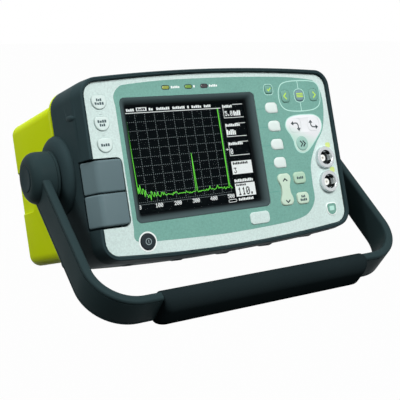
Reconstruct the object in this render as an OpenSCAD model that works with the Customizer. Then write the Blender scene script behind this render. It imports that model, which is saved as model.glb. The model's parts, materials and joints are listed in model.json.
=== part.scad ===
// Portable ultrasonic flaw detector, standing on its turned-down handle.
// Every module is drawn upright, with X to the right, Y to the back from the
// panel's face and Z up from the housing's lowest line, and stance() then leans
// it back onto the handle's grip and the two feet under the rear case.

/* [Front housing] */
// Width of the housing at its joint with the rear case
body_w = 248; // [240:1:262]
// Height of the housing at its joint, at mid-width
body_h = 151; // [146:1:160]
// Depth from the panel's face to the joint
housing_d = 48.5; // [46:0.5:56]
// Width over the lip round the panel
front_w = 239.6; // [236:0.2:240]
// Height over the lip, at mid-width
front_h = 147.2; // [145:0.2:149]
// Height of the lip's lowest point above the housing's lowest line
front_base_z = 3.2; // [2:0.1:5]
// Width of the lip
lip_w = 3.3; // [2.6:0.1:4]
// How far the lip stands in front of the panel
lip_d = 3; // [2:0.1:4]
// Rise of the lower edge from the middle to the sides
bow_bottom = 5.6; // [3:0.1:7]
// Fall of the upper edge from the middle to the sides
bow_top = 5; // [3:0.1:7]
// Radius of the lip's four corners
front_corner_r = 14.5; // [12:0.5:18]
// Radius of the housing's corners at the joint
rear_corner_r = 16; // [12:0.5:20]
// Wall thickness of both shells
wall = 3; // [2.6:0.1:3.6]

/* [Rear case] */
// Depth of the rear case behind the joint
case_d = 104; // [98:1:112]
// Step in from the housing's side to the rear case's side
case_step = 1.5; // [0.5:0.1:4]
// Height of the rear case
case_h = 127; // [120:1:130]
// Height of its underside above the housing's lowest line
case_base_z = 13; // [11:0.5:15]
// Radius of its long corners
case_corner_r = 10; // [8:0.5:13]
// Rounding of its rear edges
case_edge_r = 6; // [4:0.5:8]
// Length over which its collar narrows to the case
collar_d = 8; // [6:0.5:12]

/* [Panel] */
// Thickness of the panel plate
panel_t = 2.4; // [2:0.1:3]
// Thickness of the coloured overlay let into it
overlay_t = 0.4; // [0.3:0.05:0.6]
// Width of the display's recess
window_w = 125.7; // [120:0.1:128]
// Height of the display's recess
window_h = 96.5; // [92:0.5:99]
// Width of the lit screen
screen_w = 111.4; // [106:0.1:113]
// Height of the lit screen
screen_h = 83.5; // [79:0.5:85]
// Depth of the display's recess
recess_d = 4.6; // [4:0.1:6]

/* [Keys] */
// Width of the shield-shaped keys at the left
shield_key_w = 12.5; // [11:0.1:13.5]
// Height of the shield-shaped keys
shield_key_h = 11; // [10:0.1:13]
// Pitch of the shield-shaped keys
shield_key_pitch = 16.4; // [15:0.1:17]
// Diameter of the power key
power_key_dia = 12.8; // [11:0.1:14]
// Width of the soft keys beside the screen
soft_key_w = 12.3; // [11:0.1:13]
// Height of the soft keys
soft_key_h = 8.8; // [8:0.1:10]
// Pitch of the soft keys
soft_key_pitch = 15.75; // [14:0.05:16]
// Width of the small square keys
square_key_w = 12.7; // [11:0.1:13]
// Height of the small square keys
square_key_h = 10; // [9:0.1:11]
// Width of the keys in the oval group
oval_key_w = 13; // [11:0.1:14]
// Height of the keys in the oval group
oval_key_h = 12; // [11:0.1:13]
// Diameter of the fast key
fast_key_dia = 12.4; // [11:0.1:13]
// Width of the rocker
rocker_w = 13.4; // [12:0.1:14]
// Height of the rocker
rocker_h = 27; // [25:0.5:28]
// How far the keys stand in front of the panel
key_proud = 1.3; // [0.8:0.1:2]
// Travel of a key
key_travel = 0.8; // [0.5:0.1:1]
// Travel of a paddle
paddle_travel = 1.5; // [1:0.1:1.6]
// Height of one paddle
paddle_h = 24.4; // [22:0.1:25]

/* [Handle] */
// Angle of the arms below the level, as the unit stands
stand_angle = 54.2; // [48:0.2:60]
// Width over the arms
handle_w = 290.6; // [288:0.2:296]
// Distance from the pivot to the inner face of the cross bar
arm_reach = 130.5; // [130:0.5:142]
// Width of the arms
arm_w = 28; // [25:0.5:30]
// Thickness of the arms
arm_t = 7; // [6:0.5:7.5]
// Outer radius of the handle's corners
corner_r = 36.5; // [30:0.5:40]
// Length of the grip
grip_l = 192; // [180:1:200]
// Width of the grip
grip_w = 30; // [29:0.5:33]
// Thickness of the grip
grip_t = 18.6; // [18:0.2:22]
// Radius of the hubs
hub_r = 20.5; // [19:0.5:22]
// Radius of the pivot screws' shoulders
pivot_r = 5; // [4.5:0.1:5.5]
// Radius of the release buttons
button_r = 10.3; // [9.5:0.1:10.5]
// Travel of the release buttons
button_travel = 2.2; // [1.5:0.1:2.2]

/* [Sockets] */
// Radius of the probe sockets' bores
socket_r = 6.2; // [5.8:0.1:6.4]
// Length of the free bore ahead of the insulator
socket_free_l = 5; // [4.5:0.1:5.4]
// Outer radius of the probe sockets' rings
socket_ring_r = 9.5; // [9:0.1:10]
// Radius of the data socket's bore
data_r = 5.5; // [5:0.1:6]
// Radius of the charger socket's bore
charger_r = 3.2; // [2.8:0.1:3.6]

/* [Rear] */
// Distance from the rear case's side to the battery cover
cover_margin = 33.5; // [31:0.5:40]
// Height of the battery cover
cover_h = 86; // [80:1:90]
// Radius of the half-round feet under the rear case
foot_r = 5.6; // [5:0.1:7]
// Length of the feet under the rear case
foot_l = 34; // [28:1:40]

/* [Hidden] */
$fn = 48;

// Overrun of every cut, thickness of a hull's slices and facets of a hull's circles
over = 1;
sliver = 0.05;
snap_step = 0.01;
arc_steps = 6;
bow_steps = 4;
hull_fn = 32;

// Clearances: still parts, sliding keys, running shafts and soft parts
fit_gap = 0.2;
key_gap = 0.35;
run_gap = 0.05;
soft_gap = 0.3;

// Colours
dark = "#39464A";
dark_light = "#4E5E5E";
lime = "#B5C812";
pale = "#D8ECE8";
green = "#7DB0A4";
white_key = "#F0F7F4";
mint_key = "#C5E6C8";
paddle_grey = "#62727A";
metal = "#C9CDD0";
board_green = "#1F6B45";
black = "#15181A";

// Outlines of the housing as [half width, base, top, bow below, bow above, corner]
front_hw = front_w / 2;
body_hw = body_w / 2;
case_hw = body_hw - case_step;
case_w = 2 * case_hw;
front_edge = [front_hw, front_base_z, front_base_z + front_h, bow_bottom, bow_top,
              front_corner_r];
rear_edge = [body_hw, 0, body_h, bow_bottom, bow_top, rear_corner_r];
case_edge = [case_hw, case_base_z, case_base_z + case_h, 0, 0, case_corner_r];
panel_edge = inset(front_edge, lip_w);
panel_hw = panel_edge[0];
panel_base = panel_edge[1];
panel_h = panel_edge[2] - panel_edge[1];
case_rear_y = housing_d + case_d;
case_mid_z = case_base_z + case_h / 2;
rear_wall_t = 4;

// Front wall behind the panel, and the shoulder where the sides begin
lip_round = 1.2;
front_wall_t = 3;
front_wall_y = panel_t + front_wall_t;
ledge_w = 6;
shoulder_y = 10;
shoulder_in = 1.3;

// Grip ribs across the top and bottom, and the nubs on the sides
rib_r = 7;
rib_h = 1.1;
rib_l = 26;
rib_y = 14;
rib_taper = 7;
rib_pitch_share = 0.355;
nub_r = 3;
nub_h = 1.2;
nub_l = 18;
nub_y = 6;
nub_z_share = 0.78;
nub_slant = 8;

// Fall of the case's collar, and how far its last slice lies inside the box
collar_rise_share = 0.4;
collar_fall_share = 0.4;
collar_knee_share = 0.3;
collar_sink = 0.5;

// Case seal, screws and their posts
seal_t = 0.8;
seal_w = 1.8;
seal_inset = 0.7;
case_front_y = housing_d + seal_t;
case_mouth_d = 2.6;
post_r = 5;
screw_r = 2;
screw_head_r = 3.6;
screw_head_t = 3;
screw_sink = 5.5;
screw_inset = 12.5;
screw_bite = 12;
hex_key_r = 1.6;
hex_key_d = 1.8;

// Recesses at the rear side edges of the case
grip_recess_d = 2.2;
grip_recess_l = 34;
grip_recess_base_share = 0.37;
grip_recess_h_share = 0.29;

// Feet on the rear face and their distance from its corners
back_foot_r = 7;
back_foot_h = 5;
back_foot_x_inset = 27;
back_foot_z_inset = 15;
foot_x_share = 0.64;
foot_inset = 11.5;
foot_y = case_rear_y - foot_inset;
foot_sink = 1.4;

// Places on the panel, as shares of its half width and its height
window_x_share = -0.2112;
window_z_share = 0.5340;
screen_x_share = -0.0100;
side_key_x_share = -0.8980;
side_key_z_share = 0.8592;
power_key_shares = [-0.6961, 0.0870];
accept_key_shares = [0.4670, 0.8870];
oval_key_shares = [0.7442, 0.8407];
oval_key_pitch_share = 0.1455;
soft_key_x_share = 0.4678;
soft_key_z_share = 0.7747;
turn_key_z_share = 0.6572;
turn_key_x_shares = [0.6600, 0.8326];
fast_key_shares = [0.6996, 0.5427];
rocker_shares = [0.4794, 0.2730];
green_key_shares = [[0.6215, 0.3337], [0.6232, 0.2085]];
socket_x_share = 0.8850;
socket_z_shares = [0.4410, 0.2902];
lens_z_share = 0.9253;
lens_x_shares = [-0.3888, -0.2086, -0.0798];
badge_shares = [0.2129, 0.1283];
service_shares = [0.8781, 0.1184];
paddle_recess_shares = [-0.7957, 0.1850, 0.5583];

window_x = window_x_share * panel_hw;
window_z = panel_base + window_z_share * panel_h;
screen_x = window_x + screen_x_share * panel_hw;
window_r = 4;
screen_r = 1.2;
bezel_t = 6;
bezel_flange_w = 2.4;
bezel_flange_t = 1.6;
bezel_edge = 0.5;
glass_t = 1.1;
glass_over = 2.2;
gasket_t = 0.4;
gasket_w = 1.8;
lcd_t = 7;
lcd_over = 2.6;
lcd_face_y = bezel_t + gasket_t;
lcd_back_y = lcd_face_y + lcd_t;

// Overlay outline: nodes of a closed smooth curve, with a tangent each, as
// shares of the panel's half width and height
overlay_nodes_shares = [
    [-0.7811, 0.1070], [-0.7150, 0.0880], [-0.1000, 0.0690], [0.4500, 0.0800],
    [0.6360, 0.1080], [0.7270, 0.1850], [0.7350, 0.3000], [0.7500, 0.4150],
    [0.8250, 0.5300], [0.9150, 0.6250], [0.9560, 0.7600], [0.9480, 0.8700],
    [0.8850, 0.9330], [0.6000, 0.9600], [0.1000, 0.9700], [-0.4000, 0.9650],
    [-0.7150, 0.9460], [-0.7811, 0.8980], [-0.7811, 0.8300], [-0.7811, 0.1700]
];
curve_steps = 4;

// Key shapes and the flanges that keep them behind the panel
key_edge_r = 3.2;
soft_key_r = 4;
soft_key_tip_r = 0.8;
oval_key_r = 4;
flange_w = 1.1;
flange_t = 1.2;
cap_step = 0.4;
cap_step_d = 0.5;
rocker_waist_w = 9;
rocker_end_h = 11;
rocker_end_r = 4;
rocker_flange_gap = 0.6;
rocker_axis_y = panel_t + rocker_flange_gap + flange_t / 2;

// Boards and the frame that carries them
board_t = 1.6;
keypad_y = panel_t + fit_gap + flange_t + key_travel + soft_gap + fit_gap;
keypad_window_gap = 4;
panel_post_r = 2.4;
panel_post_shares = [[-0.804, 0.807], [-0.804, 0.68], [-0.344, 0.1], [0, 0.1],
                     [0.378, 0.715], [0.378, 0.487], [0.744, 0.409], [0.757, 0.13],
                     [0.82, 0.913], [0.086, 0.932]];
frame_t = 2;
frame_inset = 5;
frame_post_r = 4;
frame_post_inset = 7;
frame_post_x_share = 0.516;
frame_y = lcd_back_y;
frame_hole_w = 60;
frame_hole_h = 40;
standoff_r = 3;
standoff_l = 9;
standoff_inset = 12;
main_w = 196;
main_h = 108;
main_z = 76;
main_y = frame_y + frame_t + standoff_l;
pulser_w = 84;
pulser_h = 76;
pulser_x = 46;
pulser_standoff_l = 7;
pulser_inset = 5;
pulser_y = main_y + board_t + pulser_standoff_l;
can_w = 62;
can_h = 56;
can_t = 9;
can_wall = 0.8;
chip_w = 28;
chip_t = 2.4;
chip_shares = [[-0.3, 0.2], [-0.3, -0.25], [-0.05, 0.22]];
connector_w = 22;
connector_h = 7;
connector_t = 6;

// Paddles and the recess that they sit in
paddle_recess_x = snap(paddle_recess_shares[0] * panel_hw);
paddle_recess_z = snap(panel_base + paddle_recess_shares[1] * panel_h);
paddle_recess_h = snap((paddle_recess_shares[2] - paddle_recess_shares[1]) * panel_h);
paddle_recess_d = 12.3;
paddle_recess_r = 4.5;
paddle_wall = 2.2;
paddle_side_gap = 1.9;
paddle_proud = 3.4;
paddle_ridge = 6.2;
paddle_edge = 1;
paddle_back_y = paddle_recess_d - paddle_travel - soft_gap;
paddle_stem_r = 2;
paddle_stem_gap = 0.3;
paddle_stem_l = 3.4;
paddle_flank_in = 0.2;
paddle_flank_x = body_hw - shoulder_in - paddle_flank_in;

// Probe sockets
socket_x = socket_x_share * panel_hw;
socket_zs = [for (s = socket_z_shares) panel_base + s * panel_h];
socket_ring_d = 3.4;
socket_barrel_r = 7;
socket_end_y = 15;
socket_rear_r = 5.8;
socket_bore_l = 11.5;
socket_key_w = 2;
socket_key_d = 0.5;
socket_floor_t = 3;
core_r = 2.5;
contact_r = 0.8;
contact_proud = 0.3;
nut_r = 9;
nut_t = 3;

// Status lenses
lens_w = 6.3;
lens_h = 2.6;
lens_proud = 0.2;

// Blank pads on the panel
badge_w = 19.5;
badge_h = 10;
badge_t = 0.9;
service_w = 10.7;
service_h = 10.3;
service_t = 0.6;

// Pivot: heights are along the pivot's axis, from the middle of the body
pivot_behind = 2.7;
pivot_y = housing_d + pivot_behind;
pivot_z_share = 0.533;
pivot_z = body_h * pivot_z_share;
boss_flare = 11;
boss_r = hub_r + boss_flare;
boss_h = 6;
boss_face = body_hw + boss_h;
boss_pad_t = 4.5;
boss_in = body_hw - boss_pad_t;
boss_core_r = 13;
boss_core_l = 8;
boss_gap = 0.4;
hub_base = boss_face + boss_gap;
disc_t = 3;
disc_r = 15;
disc_teeth = 24;
disc_notch_r = 1.2;
web_base = boss_face + disc_t + soft_gap;
web_t = 4;
web_top = web_base + web_t;
pivot_head_r = 8;
pivot_head_t = 2.5;
pivot_key_r = 2.6;
pivot_head_base = web_top + soft_gap;
bore_floor_t = 2;
pivot_in = boss_in - boss_core_l + bore_floor_t;
head_room_r = 9.2;
spring_t = 4.6;
spring_gap = 0.1;
spring_r = 7.8;
spring_hole_r = 5.5;
button_base = pivot_head_base + pivot_head_t + spring_t + 2 * spring_gap;
button_l = 6.6;
button_proud = 0.4;
button_gap = 0.1;
button_dish_r = 60;
button_dish_d = 0.5;
button_stop = button_base - button_travel - soft_gap;
hub_face = button_base + button_l - button_proud;
hub_rim = 1.8;
hub_shoulder = 9;

// Handle
arm_edge_r = 2;
arm_start = 13;
tongue_w = 22;
tongue_t = 5.6;
tongue_l = 10;
core_w = 20;
core_t = 5;
grip_shift = 2.2;
grip_hole_gap = 0.2;
grip_end_l = 6;
grip_end_d = 5;
bar_z = arm_reach + arm_t / 2;
grip_z = bar_z + grip_shift;

// Battery, its tray and the sockets on the rear face
cover_w = case_w - 2 * cover_margin;
cover_land_w = 15;
cover_land_h = 5;
opening_w = cover_w - 2 * cover_land_w;
opening_h = cover_h - 2 * cover_land_h;
cover_t = 2;
cover_gap = 0.2;
cover_r = 6;
cover_z = 72;
tray_wall = 2;
tray_d = 62;
tray_flange = 5;
tray_gap = 0.2;
battery_gap = 0.5;
battery_d = 57;
battery_rib_w = 6;
battery_rib_d = 1;
cell_count = 4;
cover_screw_inset = 7;
cover_screw_x = cover_w / 2 - cover_screw_inset;
cover_screw_r = 2.5;
cover_screw_l = 9;
cover_screw_head_r = 6;
cover_screw_head_t = 4;
cover_screw_slot_w = 1.6;
cover_screw_slot_d = 1.6;
cover_screw_lift = 0.2;
cover_boss_r = 5;
cover_boss_l = 7;
rear_socket_inset = 18.5;
rear_socket_x = case_hw - rear_socket_inset;
data_z = 88;
charger_z = 62;
rear_socket_flange_r = 8;
rear_socket_flange_t = 1.2;
rear_socket_free_l = 4.5;
rear_socket_l = 12;
rear_socket_wall = 1.4;
charger_flange_r = 6;

// Lean of the unit: the floor touches the grip and the feet under the case.
// The lean that follows from a guess is fed back until it settles.
arm_down = [-cos(stand_angle), -sin(stand_angle)];
arm_across = [-sin(stand_angle), cos(stand_angle)];
grip_y0 = pivot_y + arm_down[0] * grip_z;
grip_z0 = pivot_z + arm_down[1] * grip_z;
function grip_drop(a) =
    (grip_w - grip_t) / 2 * abs(-arm_across[0] * sin(a) + arm_across[1] * cos(a)) + grip_t / 2;
function lean_from(a) =
    asin((cos(a) * (case_base_z - grip_z0) + grip_drop(a) - foot_r) / (foot_y - grip_y0));
function settle(a, n) = n == 0 ? a : settle(lean_from(a), n - 1);
settle_steps = 12;
lean_guess = 15;
lean = settle(lean_guess, settle_steps);
lift = foot_y * sin(lean) - case_base_z * cos(lean) + foot_r;

// Middle of the leaning unit from front to back, from the grip to the rear face
grip_front = grip_y0 * cos(lean) + grip_z0 * sin(lean)
    - (grip_w - grip_t) / 2 * abs(arm_across[0] * cos(lean) + arm_across[1] * sin(lean))
    - grip_t / 2;
back_foot_top_z = case_base_z + case_h - back_foot_z_inset + back_foot_r;
case_back = max(
    (case_rear_y + back_foot_h) * cos(lean) + back_foot_top_z * sin(lean),
    case_rear_y * cos(lean) + (case_base_z + case_h) * sin(lean) - case_edge_r / 2);
mid_y = (grip_front + case_back) / 2;

// Rounds a place to a hundredth, so that arcs and straight edges meet exactly
function snap(v) = round(v / snap_step) * snap_step;

// Outline functions
function inset(o, d) = [o[0] - d, o[1] + d, o[2] - d, o[3], o[4], max(o[5] - d, d)];

// A quarter of an outline, from mid-width to the side, with z inward from the edge
function quarter(hw, bow, r) =
    let (tilt = atan(2 * bow * (hw - r) / (hw * hw)),
         reach = hw - r + r * sin(tilt),
         centre_z = bow * reach * reach / (hw * hw) + r * cos(tilt),
         steps = bow == 0 ? 1 : bow_steps)
    concat(
        [for (i = [0:steps - 1]) let (x = reach * i / steps) [x, bow * x * x / (hw * hw)]],
        [for (i = [0:arc_steps]) let (a = tilt - 90 + (90 - tilt) * i / arc_steps)
            [hw - r + r * cos(a), centre_z + r * sin(a)]]);

function outline(o) =
    let (low = quarter(o[0], o[3], o[5]),
         high = quarter(o[0], o[4], o[5]),
         right = concat([for (p = low) [p[0], o[1] + p[1]]],
                        [for (i = [len(high) - 1:-1:0]) [high[i][0], o[2] - high[i][1]]]))
    concat(right, [for (i = [len(right) - 1:-1:0]) if (right[i][0] > 0)
        [-right[i][0], right[i][1]]]);

// A closed smooth curve through points, each span a cubic with blended tangents
function wrap(list, i) = list[(i + len(list)) % len(list)];
function tangent(a, b, c) = (c - a) / norm(c - a) * min(norm(b - a), norm(c - b));
function span_point(a, b, c, d, t) =
    let (u = 1 - t)
    b * (1 + 2 * t) * u * u + tangent(a, b, c) * t * u * u
    + c * t * t * (3 - 2 * t) - tangent(b, c, d) * t * t * u;
function smooth(list, steps) = [for (i = [0:len(list) - 1], j = [0:steps - 1])
    span_point(wrap(list, i - 1), wrap(list, i), wrap(list, i + 1), wrap(list, i + 2),
               j / steps)];
function on_panel(s) = [s[0] * panel_hw, panel_base + s[1] * panel_h];

// Upper and lower edge heights of an outline at a distance from mid-width
function top_z(o, x) = o[2] - o[4] * x * x / (o[0] * o[0]);
function base_z(o, x) = o[1] + o[3] * x * x / (o[0] * o[0]);

// Key places
function side_key_at(i) = [side_key_x_share * panel_hw,
    panel_base + side_key_z_share * panel_h - i * shield_key_pitch];
function soft_key_at(i) = [soft_key_x_share * panel_hw,
    panel_base + soft_key_z_share * panel_h - i * soft_key_pitch];
function oval_key_at(i) = on_panel([oval_key_shares[0] + i * oval_key_pitch_share,
                                    oval_key_shares[1]]);
function turn_key_at(i) = on_panel([turn_key_x_shares[i], turn_key_z_share]);
function lens_at(i) = on_panel([lens_x_shares[i], lens_z_share]);

// Placing helpers
module stance() {
    translate([0, -mid_y, lift]) rotate([-lean, 0, 0]) children();
}

// A flat shape drawn in X and Z, extruded backwards from y by d
module along_y(y, d) {
    translate([0, y + d, 0]) rotate([90, 0, 0]) linear_extrude(height = d) children();
}

module slab(o, y, d = sliver) {
    along_y(y, d) polygon(outline(o));
}

// A cylinder along Y from y, centred at p in X and Z
module rod_y(p, y, d, r) {
    along_y(y, d) translate(p) circle(r = r);
}

module box(low, high) {
    translate(low) cube(high - low);
}

// Side is -1 for the left and 1 for the right; heights then run outwards
module on_side(side) {
    translate([0, pivot_y, pivot_z]) rotate([0, side * 90, 0]) children();
}

// The handle's own frame: arms hang along -Z, the strap's width lies along Y
module in_handle() {
    translate([0, pivot_y, pivot_z]) rotate([stand_angle - 90, 0, 0]) children();
}

// Flat shapes
module rounded(w, h, r) {
    square([w - 2 * r, h], center = true);
    square([w, h - 2 * r], center = true);
    for (x = [-1, 1], y = [-1, 1]) translate([x * (w / 2 - r), y * (h / 2 - r)]) circle(r = r);
}

module stadium(w, h) {
    square([w - h, h], center = true);
    for (x = [-1, 1]) translate([x * (w - h) / 2, 0]) circle(d = h);
}

// Flat on top, round below
module shield(w, h, r, grow) {
    drop = h / 2 - w / 2;
    translate([0, -drop]) circle(r = w / 2 + grow);
    translate([-w / 2 - grow, -drop]) square([w + 2 * grow, h / 2 + drop - r]);
    translate([-w / 2 + r, -drop]) square([w - 2 * r, h / 2 + drop + grow]);
    for (x = [-1, 1]) translate([x * (w / 2 - r), h / 2 - r]) circle(r = r + grow);
}

// Round at the left, with one sharp corner at the lower right
module soft_shape(grow) {
    w = soft_key_w + 2 * grow;
    h = soft_key_h + 2 * grow;
    r = soft_key_r + grow;
    tip = soft_key_tip_r + grow;
    translate([-w / 2 + r, -h / 2]) square([w - 2 * r, h]);
    translate([-w / 2, -h / 2 + r]) square([w, h - 2 * r]);
    for (y = [-1, 1]) translate([-w / 2 + r, y * (h / 2 - r)]) circle(r = r);
    translate([w / 2 - r, h / 2 - r]) circle(r = r);
    translate([w / 2 - tip, -h / 2 + tip]) circle(r = tip);
    translate([w / 2 - r, -h / 2]) square([r - tip, r]);
    translate([w / 2 - r, -h / 2 + tip]) square([r, r]);
}

module rocker_shape(grow) {
    square([rocker_waist_w + 2 * grow, rocker_h - rocker_end_h], center = true);
    for (y = [-1, 1]) translate([0, y * (rocker_h - rocker_end_h) / 2])
        rounded(rocker_w + 2 * grow, rocker_end_h + 2 * grow, rocker_end_r + grow);
}

// The shape of each key by kind, grown all round
module key_shape(kind, grow) {
    if (kind == "shield") shield(shield_key_w, shield_key_h, key_edge_r, grow);
    if (kind == "power") circle(r = power_key_dia / 2 + grow);
    if (kind == "square")
        rounded(square_key_w + 2 * grow, square_key_h + 2 * grow, key_edge_r + grow);
    if (kind == "oval")
        rounded(oval_key_w + 2 * grow, oval_key_h + 2 * grow, oval_key_r + grow);
    if (kind == "soft") soft_shape(grow);
    if (kind == "fast") circle(r = fast_key_dia / 2 + grow);
    if (kind == "rocker") rocker_shape(grow);
}

// Every key's place and kind
keys = concat(
    [for (i = [0:2]) [side_key_at(i), "shield"]],
    [[on_panel(power_key_shares), "power"], [on_panel(accept_key_shares), "square"]],
    [for (i = [-1:1]) [oval_key_at(i), "oval"]],
    [for (i = [0:3]) [soft_key_at(i), "soft"]],
    [for (i = [0:1]) [turn_key_at(i), "oval"]],
    [[on_panel(fast_key_shares), "fast"], [on_panel(rocker_shares), "rocker"]],
    [for (s = green_key_shares) [on_panel(s), "square"]]);

module key_openings() {
    for (k = keys) translate(k[0]) key_shape(k[1], key_gap);
    for (i = [0:2]) translate(lens_at(i)) stadium(lens_w + 2 * fit_gap, lens_h + 2 * fit_gap);
}

// The panel's cut for the paddles, open at the left
module paddle_cut(grow) {
    w = panel_hw + paddle_recess_x + grow;
    h = paddle_recess_h + 2 * grow;
    translate([paddle_recess_x + grow - w / 2, paddle_recess_z + paddle_recess_h / 2]) {
        rounded(w, h, paddle_recess_r + grow);
        translate([-w, -h / 2]) square([w, h]);
    }
}

module window_shape(grow) {
    translate([window_x, window_z])
        rounded(window_w + 2 * grow, window_h + 2 * grow, window_r + grow);
}

module screen_shape(grow) {
    translate([screen_x, window_z])
        rounded(screen_w + 2 * grow, screen_h + 2 * grow, screen_r + grow);
}

module overlay_shape() {
    polygon(smooth([for (s = overlay_nodes_shares) on_panel(s)], curve_steps));
}

// Places of the four case screws
module at_screws() {
    for (x = [-1, 1], z = [case_base_z + screw_inset, case_base_z + case_h - screw_inset])
        translate([x * (case_hw - screw_inset), z]) children();
}

module cover_shape(shrink) {
    translate([0, cover_z]) rounded(cover_w - 2 * shrink, cover_h - 2 * shrink, cover_r);
}

// Front housing
module housing_outer() {
    hull() {
        slab(inset(front_edge, lip_round), -lip_d);
        slab(front_edge, -lip_d + lip_round);
        slab(inset(rear_edge, shoulder_in), shoulder_y);
        slab(rear_edge, housing_d - sliver);
    }
}

module housing_cavity() {
    hull() {
        slab(inset(front_edge, wall), front_wall_y);
        slab(inset(rear_edge, wall), housing_d + over);
    }
}

// A bar of length l along Z that sinks by twice h over each tapering end
module ramp(r, h, l, taper) {
    tip_r = r - h * 2;
    translate([0, 0, taper]) cylinder(r = r, h = l - 2 * taper);
    cylinder(r1 = tip_r, r2 = r, h = taper);
    translate([0, 0, l - taper]) cylinder(r1 = r, r2 = tip_r, h = taper);
}

module rib(z) {
    translate([0, rib_y, z]) rotate([-90, 0, 0]) ramp(rib_r, rib_h, rib_l, rib_taper);
}

module housing_ribs() {
    for (i = [-2:2]) {
        x = i * rib_pitch_share * body_hw;
        translate([x, 0, 0]) {
            rib(top_z(rear_edge, x) - rib_r + rib_h);
            rib(base_z(rear_edge, x) + rib_r - rib_h);
        }
    }
}

module side_nub(side) {
    translate([side * (body_hw - nub_r), nub_y, nub_z_share * body_h])
        rotate([nub_slant - 90, 0, 0]) ramp(nub_r, nub_h, nub_l, nub_l / 3);
}

module boss(side) {
    on_side(side) {
        rotate_extrude() polygon(concat(
            [[0, boss_in], [boss_r, boss_in]],
            [for (i = [0:arc_steps]) let (a = 90 * i / arc_steps)
                [hub_r + (boss_r - hub_r) * cos(a), body_hw + boss_h * sin(a)]],
            [[0, boss_face]]));
        translate([0, 0, boss_in - boss_core_l]) cylinder(r = boss_core_r, h = boss_core_l + over);
    }
}

// The room that the ribs, nubs and bosses must leave free inside
module housing_room() {
    difference() {
        housing_cavity();
        for (side = [-1, 1]) on_side(side)
            translate([0, 0, boss_in - boss_core_l]) cylinder(r = boss_core_r, h = body_hw);
        along_y(0, paddle_recess_d + paddle_wall) paddle_cut(paddle_wall);
        along_y(0, housing_d) at_screws() circle(r = post_r);
        along_y(front_wall_y - over, frame_y - front_wall_y + over) at_frame_posts()
            circle(r = frame_post_r);
    }
}

module at_frame_posts() {
    x = frame_post_x_share * panel_hw;
    for (side = [-1, 1], z = [base_z(panel_edge, x) + frame_post_inset,
                              top_z(panel_edge, x) - frame_post_inset])
        translate([side * x, z]) children();
}

module front_housing() {
    color(dark) stance() difference() {
        union() {
            difference() {
                union() {
                    housing_outer();
                    housing_ribs();
                    side_nub(-1);
                    side_nub(1);
                }
                housing_room();
            }
            boss(-1);
            boss(1);
        }
        along_y(-lip_d - over, lip_d + over + panel_t) polygon(outline(inset(panel_edge, -fit_gap)));
        along_y(panel_t - over, front_wall_t + 2 * over) difference() {
            union() {
                polygon(outline(inset(panel_edge, ledge_w)));
                for (k = keys) translate(k[0]) key_shape(k[1], key_gap + flange_w);
                for (z = socket_zs) translate([socket_x, z]) circle(r = nut_r + fit_gap);
            }
            paddle_cut(paddle_wall);
        }
        along_y(-lip_d - over, lip_d + over + paddle_recess_d) paddle_cut(0);
        for (i = [0:1]) rod_y(paddle_stem_at(i), paddle_recess_d - over,
                              paddle_wall + 2 * over, paddle_stem_r + paddle_stem_gap);
        along_y(housing_d - screw_bite, screw_bite + over) at_screws()
            circle(r = screw_r + run_gap);
        for (side = [-1, 1]) on_side(side) translate([0, 0, pivot_in])
            cylinder(r = pivot_r + run_gap, h = body_hw);
    }
}

// Rear case
module case_outer() {
    collar_y = case_front_y + case_mouth_d;
    drop_z = case_base_z * (1 - collar_rise_share);
    rise_z = (body_h - case_base_z - case_h) * collar_fall_share;
    half = [(body_hw + case_hw) / 2, drop_z, case_base_z + case_h + rise_z, 0, 0,
            (rear_corner_r + case_corner_r) / 2];
    hull() {
        slab(rear_edge, case_front_y, case_mouth_d);
        slab(inset(half, sliver), collar_y + collar_d * collar_knee_share);
    }
    hull() {
        slab(half, collar_y + collar_d * collar_knee_share);
        slab(inset(case_edge, collar_sink), collar_y + collar_d);
    }
    case_box();
}

// The box behind the collar: three rounded prisms crossed
module case_box() {
    y0 = case_front_y + case_mouth_d / 2;
    length = case_rear_y - y0 + 2 * case_edge_r;
    intersection() {
        along_y(y0, case_rear_y - y0) translate([0, case_mid_z])
            rounded(case_w, case_h, case_corner_r);
        translate([0, case_rear_y - length / 2, case_mid_z]) rotate([90, 0, 90])
            linear_extrude(height = body_w, center = true) rounded(length, case_h, case_edge_r);
        translate([0, case_rear_y - length / 2, case_mid_z])
            linear_extrude(height = body_h, center = true) rounded(case_w, length, case_edge_r);
    }
}

module case_cavity() {
    y0 = case_front_y - over;
    along_y(y0, case_rear_y - rear_wall_t - y0) translate([0, case_mid_z])
        rounded(case_w - 2 * wall, case_h - 2 * wall, case_corner_r - wall);
}

// Shallow finger recess, open at the side and at the rear
module side_recess(side) {
    z = case_base_z + grip_recess_base_share * case_h;
    h = grip_recess_h_share * case_h;
    l = grip_recess_l + case_edge_r;
    translate([side * (case_hw + over - (grip_recess_d + over) / 2),
               case_rear_y - grip_recess_l + l / 2, z + h / 2])
        rotate([0, 90, 0]) linear_extrude(height = grip_recess_d + over, center = true)
            rounded(h, l, case_edge_r);
}

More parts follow.
